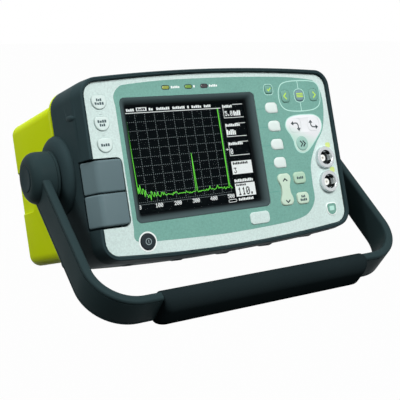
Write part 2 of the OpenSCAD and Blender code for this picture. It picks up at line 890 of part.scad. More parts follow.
module rear_case() {
    boss_y = case_rear_y - rear_wall_t - cover_boss_l;
    color(lime) stance() difference() {
        case_outer();
        difference() {
            case_cavity();
            along_y(0, case_rear_y) at_screws() circle(r = post_r);
            for (x = [-1, 1]) rod_y([x * cover_screw_x, cover_z], boss_y,
                                    cover_boss_l + rear_wall_t, cover_boss_r);
            for (side = [-1, 1]) side_pad(side);
        }
        for (side = [-1, 1]) {
            on_side(side) translate([0, 0, boss_in - soft_gap])
                cylinder(r = boss_r + soft_gap, h = body_hw);
            side_recess(side);
        }
        along_y(case_rear_y - cover_t - cover_gap, cover_t + cover_gap + over) cover_shape(0);
        along_y(case_rear_y - rear_wall_t - over, rear_wall_t + 2 * over) translate([0, cover_z])
            rounded(opening_w, opening_h, cover_r);
        along_y(case_front_y - over, case_d + 2 * over) at_screws()
            circle(r = screw_r + soft_gap);
        along_y(case_rear_y - screw_sink, screw_sink + over) at_screws()
            circle(r = screw_head_r + soft_gap);
        for (x = [-1, 1]) rod_y([x * cover_screw_x, cover_z], boss_y - over,
            cover_boss_l + rear_wall_t + 2 * over, cover_screw_r + soft_gap);
        rod_y([rear_socket_x, data_z], case_rear_y - rear_wall_t - over, rear_wall_t + 2 * over,
              data_r + rear_socket_wall + fit_gap);
        rod_y([rear_socket_x, charger_z], case_rear_y - rear_wall_t - over,
              rear_wall_t + 2 * over, charger_r + rear_socket_wall + fit_gap);
    }
}

// Thickening behind the finger recess, so that the wall keeps its thickness
module side_pad(side) {
    z = case_base_z + grip_recess_base_share * case_h;
    h = grip_recess_h_share * case_h;
    w = wall + grip_recess_d;
    translate([side * (case_hw - w / 2) - w / 2, case_rear_y - grip_recess_l - wall, z - wall])
        cube([w, grip_recess_l, h + 2 * wall]);
}

module case_seal() {
    color(black) stance() difference() {
        along_y(housing_d, seal_t) difference() {
            polygon(outline(inset(rear_edge, seal_inset)));
            polygon(outline(inset(rear_edge, seal_inset + seal_w)));
        }
        for (side = [-1, 1]) on_side(side) translate([0, 0, boss_in - over])
            cylinder(r = boss_r + soft_gap, h = body_hw);
    }
}

module case_screws() {
    head_y = case_rear_y - screw_sink;
    color(metal) stance() difference() {
        union() {
            along_y(housing_d - screw_bite + over, head_y - housing_d + screw_bite - over)
                at_screws() circle(r = screw_r);
            along_y(head_y, screw_head_t) at_screws() circle(r = screw_head_r);
        }
        along_y(head_y + screw_head_t - hex_key_d, hex_key_d + over) at_screws()
            circle(r = hex_key_r, $fn = 6);
    }
}

module rubber_feet() {
    color(black) stance() {
        for (x = [-1, 1]) difference() {
            translate([x * foot_x_share * case_hw - foot_l / 2, foot_y, case_base_z])
                rotate([0, 90, 0]) cylinder(r = foot_r, h = foot_l);
            box([-case_hw, foot_y - foot_r - over, case_base_z],
                [case_hw, foot_y + foot_r + over, case_base_z + foot_r + over]);
        }
        for (x = [-1, 1], z = [case_base_z + back_foot_z_inset,
                               case_base_z + case_h - back_foot_z_inset])
            rod_y([x * (case_hw - back_foot_x_inset), z], case_rear_y, back_foot_h, back_foot_r);
    }
}

// Panel
module panel_plate() {
    color(pale) stance() {
        difference() {
            along_y(0, panel_t) difference() {
                polygon(outline(panel_edge));
                key_openings();
                window_shape(fit_gap);
                paddle_cut(fit_gap);
                for (z = socket_zs) translate([socket_x, z]) circle(r = socket_barrel_r + fit_gap);
            }
            along_y(-over, overlay_t + over) overlay_shape();
        }
        for (s = panel_post_shares) rod_y(on_panel(s), panel_t, keypad_y - panel_t, panel_post_r);
    }
}

module panel_overlay() {
    color(green) stance() along_y(0, overlay_t) difference() {
        overlay_shape();
        key_openings();
        window_shape(fit_gap);
        for (z = socket_zs) translate([socket_x, z]) circle(r = socket_ring_r + fit_gap);
    }
}

module raised_pads() {
    color(pale) stance() {
        along_y(-badge_t, badge_t) translate(on_panel(badge_shares))
            rounded(badge_w, badge_h, key_edge_r);
        along_y(-service_t, service_t) translate(on_panel(service_shares))
            shield(service_w, service_h, key_edge_r, 0);
    }
}

module status_lenses() {
    color("#A8B84A") stance() for (i = [0:2])
        along_y(-lens_proud, lens_proud + keypad_y) translate(lens_at(i)) stadium(lens_w, lens_h);
}

// Display
module display_bezel() {
    color(black) stance() difference() {
        union() {
            along_y(0, bezel_t) window_shape(0);
            along_y(panel_t, bezel_flange_t) window_shape(bezel_flange_w);
        }
        hull() {
            along_y(-over, over) window_shape_coarse(-bezel_edge);
            along_y(recess_d, sliver) screen_shape_coarse(0);
        }
        along_y(recess_d, bezel_t) screen_shape(0);
        along_y(recess_d, bezel_t) screen_shape(glass_over + fit_gap);
    }
}

module window_shape_coarse(grow) {
    translate([window_x, window_z]) rounded(window_w + 2 * grow, window_h + 2 * grow,
                                            window_r + grow, $fn = hull_fn);
}

module screen_shape_coarse(grow) {
    translate([screen_x, window_z]) rounded(screen_w + 2 * grow, screen_h + 2 * grow,
                                            screen_r + grow, $fn = hull_fn);
}

module display_window() {
    color([0.7, 0.8, 0.8, 0.4]) stance() along_y(recess_d, glass_t) screen_shape(glass_over);
}

module window_gasket() {
    color(black) stance() along_y(recess_d + glass_t, lcd_face_y - recess_d - glass_t)
        difference() {
            screen_shape(glass_over);
            screen_shape(glass_over - gasket_w);
        }
}

module lcd_module() {
    color("#20262A") stance() along_y(lcd_face_y, lcd_t) screen_shape(lcd_over);
}

// Boards
module keypad_board() {
    color(board_green) stance() along_y(keypad_y, board_t) difference() {
        polygon(outline(inset(panel_edge, ledge_w + fit_gap)));
        window_shape(keypad_window_gap);
        paddle_cut(paddle_wall + soft_gap);
        for (z = socket_zs) translate([socket_x, z]) circle(r = nut_r + soft_gap);
        at_frame_posts() circle(r = frame_post_r + soft_gap);
        at_screws() circle(r = post_r + soft_gap);
    }
}

module inner_frame() {
    color("#AEB4B8") stance() along_y(frame_y, frame_t) difference() {
        polygon(outline(inset(panel_edge, frame_inset)));
        paddle_cut(paddle_wall + soft_gap);
        for (z = socket_zs) translate([socket_x, z]) circle(r = nut_r);
        at_screws() circle(r = post_r + soft_gap);
        translate([window_x, window_z]) rounded(frame_hole_w, frame_hole_h, key_edge_r);
    }
}

module at_standoffs() {
    for (x = [-1, 1], z = [-1, 1])
        translate([x * (main_w / 2 - standoff_inset), main_z + z * (main_h / 2 - standoff_inset)])
            children();
}

module at_pulser_standoffs() {
    for (x = [-1, 1], z = [-1, 1])
        translate([pulser_x + x * (pulser_w / 2 - pulser_inset),
                   main_z + z * (pulser_h / 2 - pulser_inset)]) children();
}

module main_board() {
    color(board_green) stance() {
        along_y(main_y, board_t) translate([0, main_z]) square([main_w, main_h], center = true);
        for (s = chip_shares) along_y(main_y + board_t, chip_t)
            translate([s[0] * main_w, main_z + s[1] * main_h])
                square([chip_w, chip_w], center = true);
        along_y(main_y + board_t, connector_t) translate([-main_w / 4, main_z - main_h / 2
            + connector_h]) square([connector_w, connector_h], center = true);
    }
}

module pulser_board() {
    color(board_green) stance() along_y(pulser_y, board_t) translate([pulser_x, main_z])
        square([pulser_w, pulser_h], center = true);
}

module board_standoffs() {
    color(metal) stance() {
        along_y(frame_y + frame_t, standoff_l) at_standoffs() circle(r = standoff_r);
        along_y(main_y + board_t, pulser_standoff_l) at_pulser_standoffs() circle(r = standoff_r);
    }
}

module shield_can() {
    color(metal) stance() difference() {
        along_y(pulser_y + board_t, can_t) translate([pulser_x, main_z])
            square([can_w, can_h], center = true);
        along_y(pulser_y + board_t - over, can_t - can_wall + over)
            translate([pulser_x, main_z])
                square([can_w - 2 * can_wall, can_h - 2 * can_wall], center = true);
    }
}

// Probe sockets
module socket_shell(i) {
    p = [socket_x, socket_zs[i]];
    color(metal) stance() difference() {
        union() {
            rod_y(p, -socket_ring_d, socket_ring_d, socket_ring_r);
            rod_y(p, -sliver, socket_end_y, socket_barrel_r);
        }
        rod_y(p, -socket_ring_d - over, socket_free_l + over, socket_r);
        rod_y(p, -socket_ring_d, socket_bore_l, socket_rear_r);
        along_y(-socket_ring_d + socket_free_l - over, socket_bore_l - socket_free_l)
            translate(p) square([2 * (socket_rear_r + socket_key_d), socket_key_w], center = true);
        rod_y(p, 0, socket_end_y + over, core_r + run_gap);
    }
}

module socket_insulators() {
    color("#F2F2EE") stance() for (z = socket_zs) {
        p = [socket_x, z];
        difference() {
            rod_y(p, -socket_ring_d + socket_free_l,
                  socket_end_y + socket_ring_d - socket_free_l - sliver, core_r);
            rod_y(p, -socket_ring_d, socket_end_y + 2 * socket_ring_d, contact_r + run_gap);
        }
    }
}

module socket_contacts() {
    color("#C9A24A") stance() for (z = socket_zs)
        rod_y([socket_x, z], -socket_ring_d + socket_free_l + contact_proud,
              socket_end_y, contact_r);
}

module socket_nuts() {
    color(metal) stance() for (z = socket_zs) difference() {
        along_y(panel_t, nut_t) translate([socket_x, z]) circle(r = nut_r, $fn = 6);
        rod_y([socket_x, z], panel_t - over, nut_t + 2 * over, socket_barrel_r + run_gap);
    }
}

// Battery and rear sockets
module battery_tray() {
    y0 = case_rear_y - rear_wall_t - tray_gap;
    color("#8A9090") stance() difference() {
        union() {
            along_y(y0 - tray_d, tray_d) translate([0, cover_z])
                rounded(opening_w + 2 * tray_wall, opening_h + 2 * tray_wall, cover_r);
            along_y(y0 - tray_wall, tray_wall) translate([0, cover_z])
                rounded(opening_w + 2 * tray_flange, opening_h + 2 * tray_flange, cover_r);
        }
        along_y(y0 - tray_d + tray_wall, tray_d) translate([0, cover_z])
            rounded(opening_w, opening_h, cover_r - tray_wall);
        for (x = [-1, 1]) rod_y([x * cover_screw_x, cover_z], y0 - tray_wall - over,
                                tray_wall + 2 * over, cover_boss_r + soft_gap);
    }
}

module battery_pack() {
    y0 = case_rear_y - rear_wall_t - tray_gap - tray_d + tray_wall;
    w = opening_w - 2 * battery_gap;
    h = opening_h - 2 * battery_gap;
    color("#2B2F33") stance() difference() {
        along_y(y0, battery_d) translate([0, cover_z]) rounded(w, h, cover_r - tray_wall);
        for (i = [1:cell_count - 1]) along_y(y0 + battery_d - battery_rib_d, battery_rib_d + over)
            translate([-w / 2 + w * i / cell_count, cover_z])
                square([battery_rib_w, h + over], center = true);
    }
}

module battery_cover() {
    color(lime) stance() difference() {
        along_y(case_rear_y - cover_t, cover_t) cover_shape(cover_gap);
        for (x = [-1, 1]) rod_y([x * cover_screw_x, cover_z], case_rear_y - cover_t - over,
                                cover_t + 2 * over, cover_screw_r + run_gap);
    }
}

module cover_screw(x) {
    p = [x * cover_screw_x, cover_z];
    head_y = case_rear_y + cover_screw_lift;
    color(dark_light) stance() difference() {
        union() {
            rod_y(p, head_y - cover_screw_l, cover_screw_l + sliver, cover_screw_r);
            rod_y(p, head_y, cover_screw_head_t, cover_screw_head_r);
        }
        along_y(head_y + cover_screw_head_t - cover_screw_slot_d, cover_screw_slot_d + over)
            translate(p) square([cover_screw_slot_w, 3 * cover_screw_head_r], center = true);
    }
}

// A socket that is fixed from inside, with its flange on the rear wall's inner face
module rear_socket(p, r, flange_r) {
    y_in = case_rear_y - rear_wall_t;
    difference() {
        union() {
            rod_y(p, case_rear_y - rear_socket_l, rear_socket_l, r + rear_socket_wall);
            rod_y(p, y_in - rear_socket_flange_t, rear_socket_flange_t, flange_r);
        }
        rod_y(p, case_rear_y - rear_socket_free_l, rear_socket_free_l + over, r);
    }
}

module data_socket() {
    color(black) stance() rear_socket([rear_socket_x, data_z], data_r, rear_socket_flange_r);
}

module charger_socket() {
    color(black) stance() rear_socket([rear_socket_x, charger_z], charger_r, charger_flange_r);
}

// Pivot
module pivot_screws() {
    color(metal) stance() for (side = [-1, 1]) on_side(side) difference() {
        union() {
            translate([0, 0, pivot_in + over]) cylinder(r = pivot_r,
                h = pivot_head_base - pivot_in - over + sliver);
            translate([0, 0, pivot_head_base]) cylinder(r = pivot_head_r, h = pivot_head_t);
        }
        translate([0, 0, pivot_head_base + pivot_head_t - hex_key_d])
            cylinder(r = pivot_key_r, h = hex_key_d + over, $fn = 6);
    }
}

module detent_discs() {
    color(metal) stance() for (side = [-1, 1]) on_side(side) difference() {
        translate([0, 0, boss_face]) cylinder(r = disc_r, h = disc_t);
        translate([0, 0, boss_face - over])
            cylinder(r = pivot_r + run_gap, h = disc_t + 2 * over);
        for (i = [0:disc_teeth - 1]) rotate([0, 0, 360 * i / disc_teeth])
            translate([disc_r, 0, boss_face - over])
                cylinder(r = disc_notch_r, h = disc_t + 2 * over);
    }
}

// Handle
module strap_section() {
    rounded(arm_t, arm_w, arm_edge_r);
}

// The strap's run from the hub to the grip, drawn for the left arm
module strap() {
    straight = arm_reach + arm_t - corner_r;
    foot_x = handle_w / 2 - corner_r;
    translate([-handle_w / 2 + arm_t / 2, 0, -straight])
        linear_extrude(height = straight - arm_start) strap_section();
    translate([-foot_x, 0, -straight]) rotate([90, 0, 0]) rotate([0, 0, 180])
        rotate_extrude(angle = 90) translate([corner_r - arm_t / 2, 0]) strap_section();
    translate([-foot_x, 0, -bar_z]) rotate([0, 90, 0])
        linear_extrude(height = foot_x - grip_l / 2) strap_section();
    translate([-grip_l / 2 - sliver, -tongue_w / 2, -bar_z - tongue_t / 2])
        cube([tongue_l + sliver, tongue_w, tongue_t]);
}

// Heights along the pivot, outwards from the middle of the body
module hub_body() {
    difference() {
        rotate_extrude() polygon(concat(
            [[0, hub_base], [hub_r, hub_base]],
            [for (i = [0:arc_steps]) let (a = 90 * i / arc_steps)
                [button_r + hub_rim + (hub_r - button_r - hub_rim) * cos(a),
                 hub_face - hub_shoulder + hub_shoulder * sin(a)]],
            [[0, hub_face]]));
        translate([0, 0, hub_base - over])
            cylinder(r = disc_r + soft_gap, h = web_base - hub_base + over);
        translate([0, 0, hub_base - over]) cylinder(r = pivot_r + run_gap, h = hub_face);
        translate([0, 0, web_top]) cylinder(r = head_room_r, h = hub_face);
        translate([0, 0, button_stop]) cylinder(r = button_r + button_gap, h = hub_face);
    }
}

module handle_arm_left() {
    color(dark) stance() in_handle() union() {
        strap();
        rotate([0, -90, 0]) hub_body();
    }
}

module handle_arm_right() {
    color(dark) stance() in_handle() union() {
        mirror([1, 0, 0]) strap();
        rotate([0, 90, 0]) hub_body();
    }
}

module handle_bar() {
    half = grip_l / 2 - tongue_l - fit_gap;
    color(metal) stance() in_handle()
        box([-half, -core_w / 2, -bar_z - core_t / 2], [half, core_w / 2, -bar_z + core_t / 2]);
}

module grip_end(side) {
    x = side * grip_l / 2;
    z = -grip_z - grip_t / 2;
    rotate([90, 0, 0]) linear_extrude(height = 2 * grip_w, center = true)
        polygon([[x - side * grip_end_l, z - over], [x - side * grip_end_l, z],
                 [x, z + grip_end_d], [x + side * over, z + grip_end_d],
                 [x + side * over, z - over]]);
}

module handle_grip() {
    hole_w = tongue_w + 2 * grip_hole_gap;
    hole_t = tongue_t + 2 * grip_hole_gap;
    color("#23292B") stance() in_handle() difference() {
        translate([-grip_l / 2, 0, -grip_z]) rotate([90, 0, 90])
            linear_extrude(height = grip_l) stadium(grip_w, grip_t);
        box([-grip_l, -hole_w / 2, -bar_z - hole_t / 2], [grip_l, hole_w / 2, -bar_z + hole_t / 2]);
        grip_end(-1);
        grip_end(1);
    }
}

module button_springs() {
    color(metal) stance() for (side = [-1, 1]) on_side(side) difference() {
        translate([0, 0, pivot_head_base + pivot_head_t + spring_gap])
            cylinder(r = spring_r, h = spring_t);
        translate([0, 0, pivot_head_base]) cylinder(r = spring_hole_r, h = spring_t * 3);
    }
}

module release_button(side) {
    color(dark_light) stance() on_side(side) difference() {
        translate([0, 0, button_base]) cylinder(r = button_r, h = button_l);
        translate([0, 0, button_base + button_l - button_dish_d + button_dish_r])
            sphere(r = button_dish_r, $fn = 96);
    }
}

// Keys: a cap through the panel, a step at its face and a flange behind the panel
module key(p, kind, tint) {
    color(tint) stance() {
        along_y(-key_proud, cap_step_d + sliver) translate(p) key_shape(kind, -cap_step);
        along_y(-key_proud + cap_step_d, key_proud - cap_step_d + panel_t + fit_gap + sliver)
            translate(p) key_shape(kind, 0);
        along_y(panel_t + fit_gap, flange_t) translate(p)
            key_shape(kind, key_gap + flange_w - fit_gap * 2);
    }
}

// The rocker's flange lies further back, and a bar behind it is its fulcrum
module rocker() {
    p = on_panel(rocker_shares);
    color(mint_key) stance() {
        along_y(-key_proud, cap_step_d + sliver) translate(p) key_shape("rocker", -cap_step);
        along_y(-key_proud + cap_step_d,
                key_proud - cap_step_d + panel_t + rocker_flange_gap + sliver)
            translate(p) key_shape("rocker", 0);
        along_y(panel_t + rocker_flange_gap, flange_t) translate(p)
            key_shape("rocker", key_gap + flange_w - fit_gap * 2);
        translate([p[0] - rocker_waist_w / 2, rocker_axis_y, p[1]]) rotate([0, 90, 0])
            cylinder(r = keypad_y - rocker_axis_y - run_gap, h = rocker_waist_w);
    }
}

function paddle_z(i) = paddle_recess_z + paddle_recess_h / 2
    + (i == 0 ? 1 : -1) * (paddle_recess_h / 4);
function paddle_stem_at(i) = [(paddle_recess_x - paddle_flank_x) / 2, paddle_z(i)];

// A paddle wraps the housing's left edge: its section is drawn in X and Y
module paddle(i) {
    x_in = paddle_recess_x - paddle_side_gap;
    z_mid = paddle_recess_z + paddle_recess_h / 2;
    z0 = i == 0 ? z_mid + fit_gap * 2 : z_mid - fit_gap * 2 - paddle_h;
    color(paddle_grey) stance() {
        translate([0, 0, z0]) linear_extrude(height = paddle_h) polygon([
            [x_in, paddle_back_y], [x_in, -paddle_proud + paddle_edge],
            [x_in - paddle_edge, -paddle_proud],
            [-paddle_flank_x + paddle_ridge + paddle_edge, -paddle_proud],
            [-paddle_flank_x + paddle_ridge - paddle_edge / 2, -paddle_proud + paddle_edge],
            [-paddle_flank_x, paddle_back_y - paddle_edge], [-paddle_flank_x, paddle_back_y]]);
        rod_y(paddle_stem_at(i), paddle_back_y - sliver, paddle_stem_l, paddle_stem_r);
    }
}

front_housing();
rear_case();
case_seal();
case_screws();
rubber_feet();
panel_plate();
panel_overlay();
raised_pads();
status_lenses();
display_bezel();
display_window();
window_gasket();
lcd_module();
keypad_board();
inner_frame();
main_board();
pulser_board();
board_standoffs();
shield_can();
socket_shell(0);  // socket_shell_upper
socket_shell(1);  // socket_shell_lower
socket_insulators();
socket_contacts();
socket_nuts();
battery_tray();
battery_pack();
battery_cover();
data_socket();
charger_socket();
pivot_screws();
detent_discs();
handle_arm_left();
handle_arm_right();
handle_bar();
handle_grip();
button_springs();
release_button(-1);  // release_button_left
release_button(1);  // release_button_right
key(side_key_at(0), "shield", white_key);  // side_key_top
key(side_key_at(1), "shield", white_key);  // side_key_middle
key(side_key_at(2), "shield", white_key);  // side_key_bottom
key(on_panel(power_key_shares), "power", black);  // power_key
key(on_panel(accept_key_shares), "square", green);  // accept_key
key(oval_key_at(-1), "oval", green);  // oval_key_left
key(oval_key_at(0), "oval", green);  // oval_key_centre
key(oval_key_at(1), "oval", green);  // oval_key_right
key(soft_key_at(0), "soft", white_key);  // soft_key_1
key(soft_key_at(1), "soft", white_key);  // soft_key_2
key(soft_key_at(2), "soft", white_key);  // soft_key_3
key(soft_key_at(3), "soft", white_key);  // soft_key_4
key(turn_key_at(0), "oval", white_key);  // turn_key_left
key(turn_key_at(1), "oval", white_key);  // turn_key_right
key(on_panel(fast_key_shares), "fast", mint_key);  // fast_key
rocker();
key(on_panel(green_key_shares[0]), "square", mint_key);  // step_key
key(on_panel(green_key_shares[1]), "square", mint_key);  // reference_key
paddle(0);  // paddle_upper
paddle(1);  // paddle_lower
cover_screw(-1);  // cover_screw_left
cover_screw(1);  // cover_screw_right
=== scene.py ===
"""Looks of a portable ultrasonic flaw detector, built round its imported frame.

Every piece is modelled upright in millimetres, with X to the right, Y to the
back from the panel's face and Z up from the housing's lowest line. Stance then
leans its mesh back onto the handle's grip and turns it into metres.
"""

import json
import logging
import math
from dataclasses import astuple, dataclass
from enum import Enum
from typing import Callable, Iterable, Sequence, Union

import bmesh
import bpy
from mathutils import Matrix, Vector

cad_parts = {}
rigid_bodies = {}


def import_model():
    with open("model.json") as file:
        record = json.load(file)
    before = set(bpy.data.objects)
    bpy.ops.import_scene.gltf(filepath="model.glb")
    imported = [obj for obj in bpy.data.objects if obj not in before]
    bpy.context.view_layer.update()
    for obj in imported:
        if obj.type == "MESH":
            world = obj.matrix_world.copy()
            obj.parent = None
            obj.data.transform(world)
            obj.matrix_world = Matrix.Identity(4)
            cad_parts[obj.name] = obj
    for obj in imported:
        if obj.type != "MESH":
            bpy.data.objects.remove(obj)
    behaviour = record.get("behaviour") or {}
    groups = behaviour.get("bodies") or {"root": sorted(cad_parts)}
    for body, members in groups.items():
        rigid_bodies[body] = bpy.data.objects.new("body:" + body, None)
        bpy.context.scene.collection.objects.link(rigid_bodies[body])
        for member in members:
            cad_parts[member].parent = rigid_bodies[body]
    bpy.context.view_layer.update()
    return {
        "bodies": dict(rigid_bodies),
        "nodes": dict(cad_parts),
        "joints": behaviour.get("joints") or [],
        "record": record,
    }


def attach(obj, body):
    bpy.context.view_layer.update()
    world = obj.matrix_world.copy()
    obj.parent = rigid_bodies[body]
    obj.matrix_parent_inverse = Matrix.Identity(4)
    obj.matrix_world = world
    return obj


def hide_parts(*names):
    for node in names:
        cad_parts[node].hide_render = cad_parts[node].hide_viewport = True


Flat = tuple[float, float]
Place = tuple[float, float, float]
Loop = list[Flat]
Ring = list[Place]
Placing = Callable[[float, float, float], Place]
Piece = bpy.types.Object
Material = bpy.types.Material
Tree = bpy.types.NodeTree
Socket = bpy.types.NodeSocket

log = logging.getLogger("flaw_detector")
MM = 0.001

# Places that several pieces share, in upright millimetres
ROOT = "instrument"
PIVOT = (51.2, 80.483)
REAR_Y = 152.5
COVER_Z = 72.0
COVER_SCREW_X = 82.0
DATA_SOCKET = (104.0, 88.0)
CHARGER_SOCKET = (104.0, 62.0)
STEM_X = -107.6
PADDLE_STEMS = {"paddle_upper": 71.87, "paddle_lower": 45.63}


# Where things stand

@dataclass(frozen=True)
class Stance:
    """The lean of the unit on its turned-down handle.

    Attributes:
        lean: angle in degrees between the panel and the upright.
        mid_y: shift that puts the leaning unit's middle over the origin.
        lift: height of the upright frame's origin above the floor.
    """

    lean: float = 16.93215
    mid_y: float = 70.1975
    lift: float = 34.2283

    def matrix(self) -> Matrix:
        """Gives the matrix from upright millimetres to the row frame in metres."""
        turn = Matrix.Rotation(-math.radians(self.lean), 4, "X")
        shift = Matrix.Translation((0.0, -self.mid_y, self.lift))
        return Matrix.Scale(MM, 4) @ shift @ turn

    def point(self, x: float, y: float, z: float) -> Vector:
        """Gives an upright place in the row frame."""
        return self.matrix() @ Vector((x, y, z))


STANCE = Stance()


# Outlines, drawn as loops of X and Z

@dataclass(frozen=True)
class Bowed:
    """A housing outline with bowed long edges and round corners.

    Attributes:
        half: half of the width.
        low: lowest height at mid-width.
        high: highest height at mid-width.
        below: rise of the lower edge towards the sides.
        above: fall of the upper edge towards the sides.
        corner: radius of the four corners.
    """

    half: float
    low: float
    high: float
    below: float
    above: float
    corner: float

    def inset(self, d: float) -> "Bowed":
        """Gives the same outline moved inwards by d."""
        return Bowed(self.half - d, self.low + d, self.high - d, self.below, self.above,
                     max(self.corner - d, 0.6))

    def towards(self, other: "Bowed", t: float) -> "Bowed":
        """Gives the outline a share t of the way to another one."""
        return Bowed(*[a + (b - a) * t for a, b in zip(astuple(self), astuple(other))])

    def top(self, x: float) -> float:
        """Gives the upper edge's height at x."""
        return self.high - self.above * x * x / (self.half * self.half)

    def base(self, x: float) -> float:
        """Gives the lower edge's height at x."""
        return self.low + self.below * x * x / (self.half * self.half)

    def _quarter(self, bow: float, runs: int, turns: int) -> Loop:
        hw, r = self.half, self.corner
        tilt = math.atan(2 * bow * (hw - r) / (hw * hw))
        reach = hw - r + r * math.sin(tilt)
        centre = bow * reach * reach / (hw * hw) + r * math.cos(tilt)
        flat = [(reach * i / runs, bow * (reach * i / runs) ** 2 / (hw * hw))
                for i in range(runs)]
        start = tilt - math.pi / 2
        bend = [(hw - r + r * math.cos(start - start * i / turns),
                 centre + r * math.sin(start - start * i / turns)) for i in range(turns + 1)]
        return flat + bend

    def loop(self, runs: int = 12, turns: int = 12) -> Loop:
        """Gives the outline's points, always the same number.

        Args:
            runs: points along half of a long edge.
            turns: steps round a corner.

        Returns:
            The closed loop from the middle of the lower edge round to the right.
        """
        low = [(x, self.low + z) for x, z in self._quarter(self.below, runs, turns)]
        high = [(x, self.high - z) for x, z in self._quarter(self.above, runs, turns)]
        right = low + high[::-1]
        return right + [(-x, z) for x, z in right[::-1] if x > 0]


def corners(spots: Sequence[tuple[float, float, float]], steps: int = 8) -> Loop:
    """Draws a polygon whose corners are rounded.

    Args:
        spots: the corners as X, Z and radius, in order.
        steps: steps round each corner.

    Returns:
        The closed loop.
    """
    out: Loop = []
    for i, (x, z, r) in enumerate(spots):
        here = Vector((x, z))
        before = (Vector(spots[i - 1][:2]) - here).normalized()
        after = (Vector(spots[(i + 1) % len(spots)][:2]) - here).normalized()
        half = math.acos(max(-1.0, min(1.0, before.dot(after)))) / 2
        if r < 1e-6 or abs(half - math.pi / 2) < 1e-6:
            out.append((x, z))
            continue
        start = here + before * (r / math.tan(half))
        end = here + after * (r / math.tan(half))
        centre = here + (before + after).normalized() * (r / math.sin(half))
        a, b = start - centre, end - centre
        turn = a.angle(b)
        for k in range(steps + 1):
            t = k / steps
            p = (a * math.sin((1 - t) * turn) + b * math.sin(t * turn)) / math.sin(turn)
            out.append((centre.x + p.x, centre.y + p.y))
    return out


def rounded(w: float, h: float, r: float, at: Flat = (0, 0), steps: int = 8) -> Loop:
    """Draws a rounded rectangle of width w and height h round a place."""
    x, z = at
    return corners([(x + w / 2, z - h / 2, r), (x + w / 2, z + h / 2, r),
                    (x - w / 2, z + h / 2, r), (x - w / 2, z - h / 2, r)], steps)


def disc(r: float, at: Flat = (0, 0), steps: int = 48) -> Loop:
    """Draws a circle."""
    return [(at[0] + r * math.cos(2 * math.pi * i / steps),
             at[1] + r * math.sin(2 * math.pi * i / steps)) for i in range(steps)]


def smooth(spots: Sequence[Flat], steps: int = 8) -> Loop:
    """Draws a closed smooth curve through points, each span a cubic.

    Args:
        spots: the points.
        steps: steps in each span.

    Returns:
        The closed loop.
    """
    n = len(spots)
    pts = [Vector(s) for s in spots]

    def tangent(a: Vector, b: Vector, c: Vector) -> Vector:
        return (c - a).normalized() * min((b - a).length, (c - b).length)

    out: Loop = []
    for i in range(n):
        a, b, c, d = (pts[(i + k) % n] for k in (-1, 0, 1, 2))
        leave, arrive = tangent(a, b, c), tangent(b, c, d)
        for j in range(steps):
            t = j / steps
            u = 1 - t
            p = (b * (1 + 2 * t) * u * u + leave * t * u * u
                 + c * t * t * (3 - 2 * t) - arrive * t * t * u)
            out.append((p.x, p.y))
    return out


def grown(loop: Loop, d: float) -> Loop:
    """Moves a loop outwards along its own normals by d, or inwards where d is negative."""
    n = len(loop)
    area = sum(loop[i][0] * loop[(i + 1) % n][1] - loop[(i + 1) % n][0] * loop[i][1]
               for i in range(n))
    side = 1 if area > 0 else -1
    out: Loop = []
    for i in range(n):
        here = Vector(loop[i])
        one = (here - Vector(loop[i - 1])).normalized()
        two = (Vector(loop[(i + 1) % n]) - here).normalized()
        mean = (one + two).normalized() if (one + two).length > 1e-6 else one
        lean = max(0.35, mean.dot(two))
        out.append((loop[i][0] + side * mean.y * d / lean, loop[i][1] - side * mean.x * d / lean))
    return out


def ribbon(spots: Sequence[Flat], w: float) -> Loop:
    """Draws an open line of width w through points, as one closed loop."""
    pts = [Vector(s) for s in spots]
    left: Loop = []
    right: Loop = []
    for i, p in enumerate(pts):
        one = (p - pts[i - 1]).normalized() if i else (pts[1] - p).normalized()
        two = (pts[i + 1] - p).normalized() if i + 1 < len(pts) else one
        mean = (one + two).normalized()
        off = Vector((-mean.y, mean.x)) * (w / 2 / max(0.35, mean.dot(two)))
        left.append((p.x + off.x, p.y + off.y))
        right.append((p.x - off.x, p.y - off.y))
    return left + right[::-1]


def moved(loop: Loop, x: float, z: float) -> Loop:
    """Shifts a loop."""
    return [(p[0] + x, p[1] + z) for p in loop]


def at_y(loop: Loop, y: float) -> Ring:
    """Stands a loop up at a depth."""
    return [(x, y, z) for x, z in loop]


# The bench: making and finishing meshes

def take(piece: Piece) -> None:
    """Makes a piece the active one and the only one selected."""
    if bpy.context.object and bpy.context.object.mode != "OBJECT":
        bpy.ops.object.mode_set(mode="OBJECT")
    bpy.ops.object.select_all(action="DESELECT")
    piece.select_set(True)
    bpy.context.view_layer.objects.active = piece


